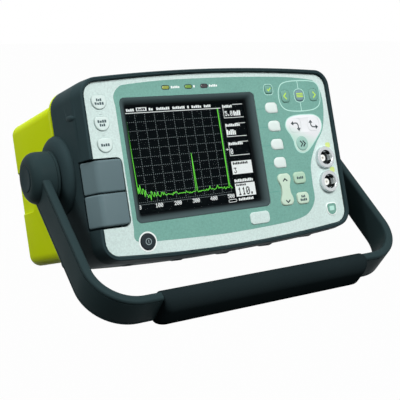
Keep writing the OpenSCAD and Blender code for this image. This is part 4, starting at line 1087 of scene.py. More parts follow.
@dataclass(frozen=True)
class Panel:
    """The overlay film, its printed lines, the blank pads and the lenses."""

    half: float = 116.5
    base: float = 6.5
    height: float = 140.6
    film: float = -0.06
    ink: float = -0.10
    power_r: float = 7.75

    def at(self, x: float, z: float) -> Flat:
        """Gives a place from its shares of the panel's half width and its height."""
        return (x * self.half, self.base + z * self.height)

    def overlay_loop(self) -> Loop:
        """Draws the overlay's outline, with its sweep round the sockets."""
        shares = ((-0.7811, 0.1070), (-0.7150, 0.0880), (-0.1000, 0.0690), (0.4500, 0.0800),
                  (0.6360, 0.1080), (0.7270, 0.1850), (0.7350, 0.3000), (0.7500, 0.4150),
                  (0.8250, 0.5300), (0.9150, 0.6250), (0.9560, 0.7600), (0.9480, 0.8700),
                  (0.8850, 0.9330), (0.6000, 0.9600), (0.1000, 0.9700), (-0.4000, 0.9650),
                  (-0.7150, 0.9460), (-0.7811, 0.8980), (-0.7811, 0.8300),
                  (-0.7811, 0.1700))
        return smooth([self.at(*s) for s in shares], 10)

    def lens_loop(self, i: int, grow: float) -> Loop:
        """Draws the outline of one of the three lenses."""
        x, z = self.at((-0.3888, -0.2086, -0.0798)[i], 0.9253)
        w, h = 6.3 + 2 * grow, 2.6 + 2 * grow
        return rounded(w, h, h / 2 - 0.001, (x, z))

    def lay(self, piece: Piece, finish: Finish, nodes: Sequence[str] = (),
            slot: str = "green_overlay_film") -> None:
        """Settles a printed or let-in piece."""
        settle(piece, finish, ROOT, slot, nodes)

    def printed(self, name: str, loops: Sequence[Loop], finish: Finish) -> None:
        """Prints loops on the film."""
        self.lay(film(name, loops, self.ink, self.film - 0.002), finish)

    def ruled(self, name: str, quads: Iterable[Loop], finish: Finish) -> None:
        """Prints small blocks on the film."""
        self.lay(plates(name, quads, self.ink, self.film - 0.002), finish)

    def overlay(self) -> None:
        """Lays the green film, with an opening for each key, lens and the window."""
        holes = [grown(key.loop(), 0.35) for key in KEYS.values()
                 if key.shape not in (KeyShape.POWER, KeyShape.SHIELD)]
        holes += [self.lens_loop(i, 0.2) for i in range(3)]
        holes.append(grown(Display().window_loop(), 0.2))
        piece = film("overlay_film", [grown(self.overlay_loop(), 0.3)] + holes, self.film,
                     -0.004)
        room = disc(self.power_r, KEYS["power_key"].at, 64)
        combine(piece, "DIFFERENCE", prism("power_room", room, -1.0, 1.0))
        self.lay(piece, GREEN_FILM, ["panel_overlay"])

    def field(self) -> None:
        """Lays the light field that the two turn keys and the round key share."""
        spots = [(67.1, 99.8), (69.9, 104.4), (76.4, 106.8), (87.5, 107.4), (98.6, 106.8),
                 (104.6, 103.4), (106.0, 97.8), (103.9, 92.6), (99.2, 87.6), (93.6, 82.2),
                 (87.2, 77.0), (81.2, 75.0), (76.2, 76.8), (73.9, 81.0), (73.2, 86.0),
                 (70.8, 91.4), (67.9, 95.6)]
        shape = smooth(spots, 8)
        holes = [grown(KEYS[node].loop(), 0.15)
                 for node in ("turn_key_left", "turn_key_right", "fast_key")]
        self.printed("field_rim", [grown(shape, 0.8)] + holes, MINT_INK)
        top = film("field_film", [shape] + holes, self.ink - 0.12, self.ink - 0.002, 0.05)
        self.lay(top, WHITE_FILM, slot="white_key_rubber")

    def lines(self) -> None:
        """Prints the outlines and leader lines."""
        ring = smooth([(65.0, 130.0), (64.2, 124.5), (64.9, 118.6), (68.0, 114.2),
                       (74.3, 111.8), (87.0, 111.0), (99.6, 111.8), (106.2, 114.6),
                       (109.2, 119.4), (110.0, 126.5), (109.3, 132.4), (105.6, 136.2),
                       (98.2, 137.5), (87.0, 137.9), (76.4, 137.5), (68.8, 135.4)], 8)
        rings = [grown(ring, 0.42), grown(ring, -0.42)]
        for node, gap, w in (("oval_key_centre", 0.8, 0.6), ("accept_key", 0.9, 0.45)):
            rings += [grown(KEYS[node].loop(), gap + w), grown(KEYS[node].loop(), gap)]
        self.printed("mint_lines", rings, MINT_INK)
        short = [q for z0, z1 in ((130.7, 137.4), (111.4, 118.7))
                 for q in strokes([(86.7, z0), (86.7, z1)], 0.7)]
        self.ruled("short_lines", short, MINT_INK)
        leaders = [q for z, x1 in ((114.9, 47.8), (99.0, 47.8), (83.4, 47.8), (67.9, 47.8),
                                   (44.2, 48.8)) for q in strokes([(39.0, z), (x1, z)], 0.45)]
        self.ruled("leader_lines", leaders, SHADE_INK)
        pale = "pale_panel_plastic"
        collars = [grown(key.loop(), d) for key in KEYS.values()
                   if key.shape is KeyShape.SHIELD for d in (1.6, 0.32)]
        self.lay(film("side_key_collars", collars, -0.05, -0.004), PANEL_ABS, slot=pale)
        rings = [disc(r, KEYS["power_key"].at, 64) for r in (self.power_r, 6.6)]
        self.lay(film("power_ring", rings, self.ink, -0.004), PALE_INK, slot=pale)
        dots = [rounded(5.2, 4.6, 1.6, at) for at in ((109.6, 79.4), (110.4, 57.4))]
        self.lay(film("socket_dots", dots, self.film, -0.004), YELLOW_INK, slot=pale)

    def pads(self) -> None:
        """Sets the blank badge and the green service pad."""
        pale = "pale_panel_plastic"
        badge = rounded(19.5, 10.0, 3.2, self.at(0.2129, 0.1283))
        rings = stacked(badge, ((0, -0.002), (0, -0.45), (0.1, -0.7), (0.35, -0.87),
                                (0.8, -0.9)))
        self.lay(loft("badge_pad", rings), PANEL_ABS, ["raised_pads"], pale)
        place = self.at(0.8781, 0.1184)
        pad = moved(shield_loop(11.6, 11.4, 3.0), *place)
        rings = stacked(pad, ((0, -0.002), (0, -0.35), (0.2, -0.55), (0.6, -0.6)))
        self.lay(loft("service_pad", rings), PALE_INK, slot=pale)
        inner = moved(shield_loop(9.8, 9.6, 2.4), *place)
        self.lay(film("service_pad_face", [inner], -0.68, -0.55), GREEN_KEY)
        label = rounded(5.2, 4.0, 0.8, (place[0], place[1] + 0.6))
        self.lay(film("service_pad_label", [label], -0.72, -0.6), MINT_INK)

    def lenses(self) -> None:
        """Sets the three lenses, each in a dark rim."""
        rims = [self.lens_loop(i, d) for i in range(3) for d in (0.55, 0.12)]
        self.lay(film("lens_rims", rims, self.ink, -0.004), DARK_INK)
        bars = [q for x0, x1 in ((-40.4, -32.2), (-19.6, -17.8), (-4.6, 3.6))
                for q in words(x0, x1, 135.7, 137.6)]
        self.ruled("lens_legends", bars, PALE_INK)
        for i, (name, finish) in enumerate((("left", OLIVE_LENS), ("middle", GREEN_LENS),
                                            ("right", RED_LENS))):
            rings = stacked(self.lens_loop(i, 0.0), ((0, 4.6), (0, 0.0), (0.12, -0.1),
                                                     (0.45, -0.18), (0.9, -0.2)))
            self.lay(loft("lens_" + name, rings), finish, ["status_lenses"] if i == 0 else (),
                     "lens_plastic")

    def build(self) -> None:
        """Builds all of it."""
        for part in (self.overlay, self.field, self.lines, self.pads, self.lenses):
            part()


# The display

DIGITS = {"0": (14, 17, 19, 21, 25, 17, 14), "1": (4, 12, 4, 4, 4, 4, 14),
          "2": (14, 17, 1, 2, 4, 8, 31), "3": (31, 2, 4, 2, 1, 17, 14),
          "4": (2, 6, 10, 18, 31, 2, 2), "5": (31, 16, 30, 1, 1, 17, 14),
          ".": (0, 0, 0, 0, 0, 12, 12)}


def digits(text: str, x: float, z: float, dot: float, tall: float) -> list[Loop]:
    """Draws numbers in display dots.

    Args:
        text: digits and points.
        x: left edge.
        z: lower edge.
        dot: width of a dot.
        tall: height of a dot.

    Returns:
        One block for each run of dots in a row.
    """
    out = []
    for letter in text:
        for row, bits in enumerate(DIGITS[letter]):
            for col in range(5):
                if bits >> (4 - col) & 1:
                    left, low = x + col * dot, z + (6 - row) * tall
                    out.append(block(left - dot * 0.12, low - tall * 0.1, left + dot * 1.12,
                                     low + tall * 1.1))
        x += dot * 6
    return out


def words(x0: float, x1: float, z0: float, z1: float) -> list[Loop]:
    """Draws plain bars in place of a line of writing."""
    count = max(1, round((x1 - x0) / 1.75))
    step = (x1 - x0) / count
    out = []
    for i in range(count):
        drop = 0.22 * (z1 - z0) * (i % 3 == 1)
        out.append(block(x0 + i * step, z0, x0 + (i + 0.78) * step, z1 - drop))
    return out


@dataclass(frozen=True)
class Display:
    """The bezel and the picture behind the window."""

    window: Flat = (125.7, 96.5)
    centre: Flat = (-24.6, 81.58)
    screen: Flat = (111.4, 83.5)
    screen_centre: Flat = (-25.77, 81.58)
    depth: float = 4.6
    back: float = 6.0
    face: float = 6.39
    grid: Flat = (-81.5, 49.0)
    cell: Flat = (8.7, 6.96)

    def window_loop(self) -> Loop:
        """Draws the window's outline."""
        return rounded(*self.window, 4.0, self.centre, 10)

    def bezel(self) -> None:
        """Makes the sloping black surround."""
        window = self.window_loop()
        screen = rounded(*self.screen, 1.2, self.screen_centre, 10)
        rings = [at_y(window, self.back), at_y(window, 0.15), at_y(grown(window, -0.12), -0.02),
                 at_y(grown(window, -0.45), 0.0)]
        for i in range(1, 8):
            t = i / 8
            # The slope leaves the rim gently and steepens towards the screen
            drop = self.depth * t ** 1.7
            rings.append([(a[0] + (b[0] - a[0]) * t, drop, a[1] + (b[1] - a[1]) * t)
                          for a, b in zip(grown(window, -0.45), screen)])
        rings += [at_y(screen, self.depth), at_y(grown(screen, 2.45), self.depth + 0.01),
                  at_y(grown(screen, 2.45), self.back)]
        # The surround's finish darkens towards the screen as painted shade
        settle(loft("display_surround", rings, closed=True), BEZEL_ABS_PAINTED_SHADE, ROOT, "black_plastic",
               ["display_bezel"], angle=50)

    def noise(self, x: float) -> float:
        """Gives the height of the trace's grass at x, the same on every run."""
        jump = 43758.5453 * math.sin(x * 12.9898)
        jump = 2 * (jump - math.floor(jump)) - 1
        fade, slow = math.exp(-(x + 80.0) / 4.5), math.exp(-(x + 80.0) / 22.0)
        return 53.0 + jump * abs(jump) * (0.9 + 4.2 * slow + 3.5 * fade) + 9.5 * fade

    def trace(self) -> list[Flat]:
        """Draws the echo trace from the first spike to the last line."""
        spots = [(-80.9, 112.0), (-80.7, 100.0), (-80.4, 84.0), (-80.1, 69.0)]
        x = -79.8
        while x < 3.2:
            height = self.noise(x)
            if abs(x + 27.2) < 0.35:
                height = 83.8
            for peak, rise in ((-14.6, 3.4), (-7.4, 4.2)):
                height += max(0.0, rise * (1 - abs(x - peak) / 0.9))
            spots.append((x, height))
            x += 0.7
        return spots + [(3.9, 52.6), (4.1, 118.4), (4.4, 118.4), (4.6, 55.0), (6.8, 52.0)]

    def grid_dots(self) -> list[Loop]:
        """Draws the dotted ten by ten grid and the ticks of its scale."""
        out = []
        (x0, z0), (w, h) = self.grid, self.cell
        for i in range(11):
            for k in range(51):
                x, z = x0 + k * w / 5, z0 + i * h
                out.append(block(x - 0.28, z - 0.22, x + 0.28, z + 0.22))
            for k in range(51):
                x, z = x0 + i * w, z0 + k * h / 5
                out.append(block(x - 0.25, z - 0.24, x + 0.25, z + 0.24))
        for k in range(101):
            x = x0 + k * w / 10
            out.append(block(x - 0.18, z0 - 1.9, x + 0.18, z0 - 1.4))
        return out

    def white_marks(self) -> list[Loop]:
        """Draws the header, the side column's frames and the scale's numbers."""
        out = strokes([(-81.7, 118.9), (7.1, 118.9)], 0.5)
        out += [block(-70.8, 120.2, -61.6, 123.0)]
        for x0, x1 in ((-79.5, -72.4), (-59.6, -55.6), (-52.8, -40.6), (-38.1, -26.4),
                       (-24.2, -22.4), (-20.2, -10.6), (-8.4, -1.6)):
            out += words(x0, x1, 120.2, 122.3)
        for i, text in enumerate(("0", "100", "200", "300", "400", "500")):
            out += digits(text, -81.0 + i * 16.9 - (2.3 if i else 0), 44.0, 0.38, 0.44)
        for top, low in ((121.4, 110.4), (105.4, 94.6), (89.8, 78.7)):
            out += strokes([(19.8, top), (29.6, top)], 0.45)
            out += strokes([(9.7, low), (29.3, low)], 0.45)
            out += strokes([(9.8, low), (9.8, top)], 0.4)
        for box in ((9.4, 19.2, 118.9, 121.2), (19.4, 26.8, 111.9, 116.1),
                    (9.8, 24.4, 103.0, 105.3), (10.0, 19.3, 96.0, 100.4),
                    (10.3, 24.4, 87.4, 89.7), (10.0, 28.8, 56.3, 58.8),
                    (11.5, 26.5, 40.9, 43.0)):
            out += words(*box)
        out += digits("5.0", 11.0, 112.0, 0.44, 0.58) + digits("0", 10.8, 79.9, 0.46, 0.64)
        for cross in ([(6.6, 84.0), (9.2, 84.0)], [(7.8, 83.1), (7.8, 84.9)]):
            out += strokes(cross, 0.4)
        out += [block(9.6, 62.9, 29.8, 73.8), block(9.8, 44.4, 29.6, 55.2)]
        frame = rounded(7.6, 2.1, 0.9, (5.4, 41.6), 4)
        return out + strokes(frame + frame[:1], 0.4)

    def dark_marks(self) -> list[Loop]:
        """Draws the dark marks on the lit boxes."""
        out = words(-70.0, -62.4, 120.7, 122.5)
        out += words(10.9, 26.2, 71.0, 73.0) + digits("3", 11.2, 63.9, 0.5, 0.64)
        return out + words(11.0, 21.0, 53.0, 54.6) + digits("110.", 12.0, 45.4, 0.68, 0.9)

    def build(self) -> None:
        """Builds the bezel and the picture."""
        self.bezel()
        y = self.face
        path = self.trace()
        layers = (("picture_grid", self.grid_dots(), GRID_DOTS, 0.02),
                  ("picture_glow", strokes(path[:5], 1.3) + strokes(path[-4:], 1.5), GLOW_DOTS,
                   0.03),
                  ("picture_trace", strokes(path, 0.42), TRACE_DOTS, 0.05),
                  ("picture_white", self.white_marks(), WHITE_DOTS, 0.04),
                  ("picture_dark", self.dark_marks(), DARK_SCREEN, 0.06))
        for name, quads, finish, proud in layers:
            settle(plates(name, quads, y - proud, y), finish, ROOT, "display_panel")


# Keys

def shield_loop(w: float, h: float, r: float) -> Loop:
    """Draws a shape that is flat above with round corners and round below."""
    rise = w / 2 - h / 2
    low = [(w / 2 * math.cos(a), rise + w / 2 * math.sin(a))
           for a in (-math.pi * i / 24 for i in range(25))]
    left = [(-w / 2 + r + r * math.cos(a), h / 2 - r + r * math.sin(a))
            for a in (math.pi - math.pi / 2 * i / 8 for i in range(9))]
    right = [(-x, z) for x, z in left[::-1]]
    return low + left + right


def rocker_loop(w: float, h: float, waist: float, r: float) -> Loop:
    """Draws a bar with two broad ends and a drawn-in waist."""
    side = [(w / 2 - r + r * math.cos(a), -h / 2 + r + r * math.sin(a))
            for a in (-math.pi / 2 + math.pi / 2 * i / 8 for i in range(9))]
    low, high = -h / 2 + r, -1.5
    for i in range(1, 11):
        t = i / 10
        ease = (1 - math.cos(math.pi * t)) / 2
        side.append((w / 2 + (waist - w) / 2 * ease, low + (high - low) * t))
    side += [(x, -z) for x, z in side[::-1]]
    return side + [(-x, z) for x, z in side[::-1]]


class KeyShape(Enum):
    """The outlines that the panel's keys come in."""

    SHIELD = "shield"
    POWER = "power"
    SQUARE = "square"
    SMALL = "small square"
    OVAL = "oval"
    CENTRE = "middle of the ring"
    LEFT = "left of the ring"
    RIGHT = "right of the ring"
    SOFT = "soft"
    FAST = "fast"
    ROCKER = "rocker"

    def loop(self) -> Loop:
        """Draws the outline round the origin."""
        if self is KeyShape.SHIELD:
            return shield_loop(12.5, 11.0, 3.2)
        if self is KeyShape.SOFT:
            return corners([(6.15, -4.4, 1.3), (6.15, 4.4, 3.3), (-6.15, 4.4, 4.3),
                            (-6.15, -4.4, 4.0)], 10)
        if self is KeyShape.ROCKER:
            return rocker_loop(13.4, 27.0, 9.0, 4.0)
        if self in (KeyShape.POWER, KeyShape.FAST):
            return disc(6.4 if self is KeyShape.POWER else 6.2, steps=64)
        # The ring's outer keys are narrower than their openings and stand off their middles,
        # so that the printed ring passes outside them
        w, h, r, x = {
            KeyShape.SQUARE: (12.7, 10.0, 3.2, 0), KeyShape.SMALL: (7.4, 7.0, 2.2, 0),
            KeyShape.OVAL: (12.4, 12.0, 4.0, 0), KeyShape.CENTRE: (8.8, 9.4, 3.4, 0),
            KeyShape.LEFT: (8.8, 10.6, 3.0, 1.6), KeyShape.RIGHT: (8.8, 10.6, 3.0, -1.6)}[self]
        return rounded(w, h, r, (x, 0))


@dataclass(frozen=True)
class Key:
    """One key of the panel.

    Attributes:
        node: its node and body.
        at: its centre on the panel.
        shape: its outline.
        finish: what it is made of.
        slot: the record's slot.
        edge: radius of its rounded front edge.
        proud: how far it stands in front of the panel.
    """

    node: str
    at: Flat
    shape: KeyShape
    finish: Moulded
    slot: str
    edge: float = 0.9
    proud: float = 1.3

    def loop(self) -> Loop:
        """Draws the key's outline on the panel."""
        return moved(self.shape.loop(), *self.at)

    def build(self) -> None:
        """Makes the cap with its flange behind the panel."""
        loop = self.loop()
        back, gap = (4.2, 3.0) if self.shape is KeyShape.ROCKER else (3.8, 2.6)
        # The rubber skirt all but fills the opening, and a small fillet leads up to the cap
        steps = [(-1.0, back), (-1.0, gap), (-0.3, gap), (-0.3, 0.25), (-0.12, -0.02),
                 (0, -0.12)]
        rise = self.proud - 0.2
        for i in range(9):
            a = math.pi / 2 * i / 8
            steps.append((self.edge * (1 - math.cos(a)), -0.17 - rise * math.sin(a)))
        steps += [(self.edge + 0.9, -self.proud + 0.01), (self.edge + 1.6, -self.proud)]
        settle(loft(self.node + "_cap", stacked(loop, steps)), self.finish, self.node,
               self.slot, [self.node], angle=50)


KEYS = {key.node: key for key in (
    *(Key("side_key_" + name, (-104.617, z), KeyShape.SHIELD, PALE_KEY, "white_key_rubber")
      for name, z in (("top", 127.304), ("middle", 110.904), ("bottom", 94.504))),
    Key("power_key", (-81.096, 18.732), KeyShape.POWER, BLACK_KEY, "black_rubber", 0.6),
    Key("accept_key", (54.406, 131.212), KeyShape.SMALL, GREEN_KEY, "green_key_rubber", 1.3,
        0.9),
    *(Key("oval_key_" + name, (x, 124.702), shape, finish, "green_key_rubber", edge, 0.9)
      for name, x, shape, finish, edge in (
          ("left", 69.749, KeyShape.LEFT, GREEN_KEY, 1.8),
          ("centre", 86.699, KeyShape.CENTRE, BLUE_KEY, 1.6),
          ("right", 103.65, KeyShape.RIGHT, GREEN_KEY, 1.8))),
    *(Key(f"soft_key_{i}", (54.499, z), KeyShape.SOFT, WHITE_KEY, "white_key_rubber", 2.8, 0.8)
      for i, z in enumerate((115.423, 99.673, 83.923, 68.173), 1)),
    *(Key("turn_key_" + name, (x, 98.902), KeyShape.OVAL, WHITE_FILM, "white_key_rubber", 1.6,
          0.34) for name, x in (("left", 76.89), ("right", 96.998))),
    Key("fast_key", (81.503, 82.804), KeyShape.FAST, FAST_KEY, "mint_key_rubber", 1.4, 0.8),
    Key("rocker", (55.85, 44.884), KeyShape.ROCKER, LEAF_KEY, "mint_key_rubber", 1.2),
    Key("step_key", (72.405, 53.418), KeyShape.SQUARE, MINT_KEY, "mint_key_rubber", 1.2),
    Key("reference_key", (72.603, 35.815), KeyShape.SQUARE, LEAF_KEY, "mint_key_rubber", 1.2),
)}


# Marks as name, key, lines round the key's centre, width, ink and rings
MARKS = (
    ("power_symbol", "power_key", [[(0, -1.3), (0, 1.3)]], 0.55, STEEL_INK,
     [disc(2.6), disc(2.05)]),
    ("tick_mark", "accept_key", [[(-1.8, 0.1), (-0.5, -1.2), (1.9, 1.3)]], 0.9, LIME_INK, []),
    ("left_mark", "oval_key_left", [[(2.2, 2.7), (-0.5, 0), (2.2, -2.7)]], 1.0, LIME_INK, []),
    ("right_mark", "oval_key_right", [[(-2.2, 2.7), (0.5, 0), (-2.2, -2.7)]], 1.0, LIME_INK,
     []),
    ("menu_mark", "oval_key_centre", [[(-3.4, z), (3.4, z)] for z in (1.6, 0.2, -1.2)], 0.85,
     LIME_INK, []),
    ("turn_arrow_left", "turn_key_left",
     [[(-3.0, 1.75), (0.6, 1.95), (2.2, 1.6), (3.0, 0.6), (3.2, -0.9), (3.3, -3.3)],
      [(-1.9, 3.2), (-3.7, 1.75), (-1.9, 0.3)], [(1.8, -2.6), (3.35, -4.4), (4.9, -2.6)]],
     1.0, DARK_INK, []),
    ("turn_arrow_right", "turn_key_right",
     [[(-2.8, 2.0), (-2.9, 0.0), (-2.5, -1.4), (-1.3, -2.3), (0.4, -2.6), (3.2, -2.6)],
      [(-4.4, 1.3), (-2.8, 3.1), (-1.2, 1.3)], [(2.2, -1.1), (4.0, -2.6), (2.2, -4.1)]],
     1.0, DARK_INK, []),
    ("fast_mark", "fast_key", [[(x, 2.3), (x + 2.4, -0.3), (x, -2.9)] for x in (-2.4, 0.5)],
     1.15, DARK_INK, []),
    ("rocker_marks", "rocker", [[(-2.2, 7.0), (0, 9.1), (2.2, 7.0)],
                                [(-2.2, -9.1), (0, -11.2), (2.2, -9.1)]], 1.05, DARK_INK, []),
)
# Plain bars in place of words, as the key and each row's ends and height
LEGENDS = (("side_key_top", ((-2.4, 2.2, 1.7), (-3.9, 3.8, -1.1))),
           ("side_key_middle", ((-3.8, 3.7, 1.7), (-2.4, 2.3, -1.1))),
           ("side_key_bottom", ((-3.7, 3.6, 0.2),)),
           ("step_key", ((-3.6, 3.6, 0.0),)),
           ("reference_key", ((-2.2, 2.2, 1.5), (-3.6, 3.6, -1.4))))


@dataclass(frozen=True)
class Keypad:
    """The keys and the plain marks on them."""

    ink: float = 0.03
    sunk: float = 0.15
    bar: float = 1.05

    def mark(self, name: str, node: str, lines: Sequence[Sequence[Flat]], w: float,
             finish: Finish, rings: Sequence[Loop]) -> None:
        """Prints strokes and rings on a key, given round the key's centre."""
        key = KEYS[node]
        shapes = [[ribbon(moved(line, *key.at), w)] for line in lines]
        if rings:
            shapes.append([moved(r, *key.at) for r in rings])
        pieces = [film(name, loops, -key.proud - self.ink, -key.proud + self.sunk)
                  for loops in shapes]
        settle(joined(name, pieces), finish, node, key.slot)

    def build(self) -> None:
        """Builds the keys, then their marks and bars."""
        for key in KEYS.values():
            key.build()
        for mark in MARKS:
            self.mark(*mark)
        for node, rows in LEGENDS:
            key = KEYS[node]
            quads = [moved(q, *key.at) for x0, x1, z in rows
                     for q in words(x0, x1, z - self.bar, z + self.bar)]
            piece = plates(node + "_legend", quads, -key.proud - self.ink,
                           -key.proud + self.sunk)
            settle(piece, SLATE_INK, node, key.slot)


# Paddles

@dataclass(frozen=True)
class Paddles:
    """The two rocking grips at the left edge."""

    inner: float = -94.6
    flank: float = -122.5
    front: float = -3.4
    back: float = 10.5
    tall: float = 24.4
    centre: float = 58.75
    gap: float = 0.4
    corner: float = 3.2
    edge: float = 1.4

    def build(self) -> None:
        """Makes both, each on its own body."""
        section = corners([(self.inner, self.back, 0.2), (self.inner, self.front, 1.1),
                           (-115.7, self.front, 5.6), (self.flank, self.back - 0.8, 0.5),
                           (self.flank, self.back, 0.2)], 8)
        r = self.corner
        for node, low, way in (("paddle_upper", self.centre + self.gap, 1),
                               ("paddle_lower", self.centre - self.gap - self.tall, -1)):
            high = low + self.tall
            outer = high if way > 0 else low
            heights = [z for e in (0.0, 0.15, 0.45, 0.9, self.edge) for z in (low + e, high - e)]
            heights += [outer - way * e for e in (2.0, 2.6)]
            rings = []
            for z in sorted(heights):
                e = min(z - low, high - z)
                d = self.edge * (1 - math.sqrt(1 - (1 - min(e / self.edge, 1.0)) ** 2))
                # The corner beside the display is rounded at the pair's outer end
                far = abs(outer - z)
                cut = r - math.sqrt(r * r - (r - far) ** 2) if far < r else 0.0
                rings.append([(min(x, self.inner - cut - d), y, z)
                              for x, y in scaled(section, d)])
            piece = loft(node + "_grip", rings)
            stem = turned("stem", [(2.0, self.back - 0.3), (2.0, self.back + 3.35)],
                          along_y((STEM_X, PADDLE_STEMS[node])), 24)
            settle(combine(piece, "UNION", stem), PADDLE_ABS, node, "paddle_plastic", [node],
                   angle=40)


# Probe sockets

@dataclass(frozen=True)
class ProbeSockets:
    """The two screened sockets at the right."""

    x: float = 103.103
    heights: Flat = (68.505, 47.302)

    def build(self) -> None:
        """Makes the shells, cores and floors, and black strips of painted shade for the notches.
        """
        for name, z in (("upper", self.heights[0]), ("lower", self.heights[1])):
            place = along_y((self.x, z))
            profile = [(6.2, 1.6), (6.2, -2.9), (6.35, -3.25), (6.75, -3.4), (8.5, -3.4),
                       (9.1, -3.28), (9.42, -2.95), (9.5, -2.5), (9.5, -0.9), (9.3, -0.7),
                       (9.3, -0.4), (9.5, -0.2), (9.5, 0.0), (7.0, 0.0), (7.0, 15.0),
                       (2.6, 15.0), (2.6, 8.1), (5.8, 8.1), (5.8, 1.6)]
            settle(turned("socket_ring_" + name, profile, place, 72, closed=True), CHROME,
                   ROOT, "chrome_plated_brass", ["socket_shell_" + name], angle=30)
            floor = turned("socket_floor_" + name, [(5.7, 6.2), (5.7, 8.05), (3.05, 8.05),
                           (3.05, 6.2)], place, 48, closed=True)
            settle(floor, BLACK_ABS, ROOT, "black_plastic")
            # Black strips on the shell's inner wall stand for its notches: painted shade in place
            # of cut grooves
            shade_strips = []
            for middle in (38, -38, 180):
                arc = [math.radians(middle + a) for a in (-13, -8, -3, 3, 8, 13)]
                shade_strips.append([(self.x + r * math.cos(a), z + r * math.sin(a))
                                for r, turn in ((6.19, arc), (5.85, arc[::-1]))
                                for a in turn])
            notch = film("socket_notch_shade_" + name, shade_strips, -2.2, 1.55)
            settle(notch, BLACK_ABS, ROOT, "black_plastic")
        cores, pins = [], []
        for z in self.heights:
            place = along_y((self.x, z))
            cores.append(turned("core", [(0.95, 1.6), (2.7, 1.6), (2.92, 1.68), (3.0, 1.9),
                                         (3.0, 7.9), (2.5, 7.9), (2.5, 14.9), (0.95, 14.9)],
                                place, 40, closed=True))
            pins.append(turned("pin", [(0.62, 3.4), (0.8, 3.2), (0.8, 16.8), (0.62, 16.8)],
                               place, 24, closed=True))
        settle(joined("socket_cores", cores), INSULATOR, ROOT, "white_insulator",
               ["socket_insulators"])
        settle(joined("socket_pins", pins), GOLD, ROOT, "gold_plated_brass",
               ["socket_contacts"])


# The handle

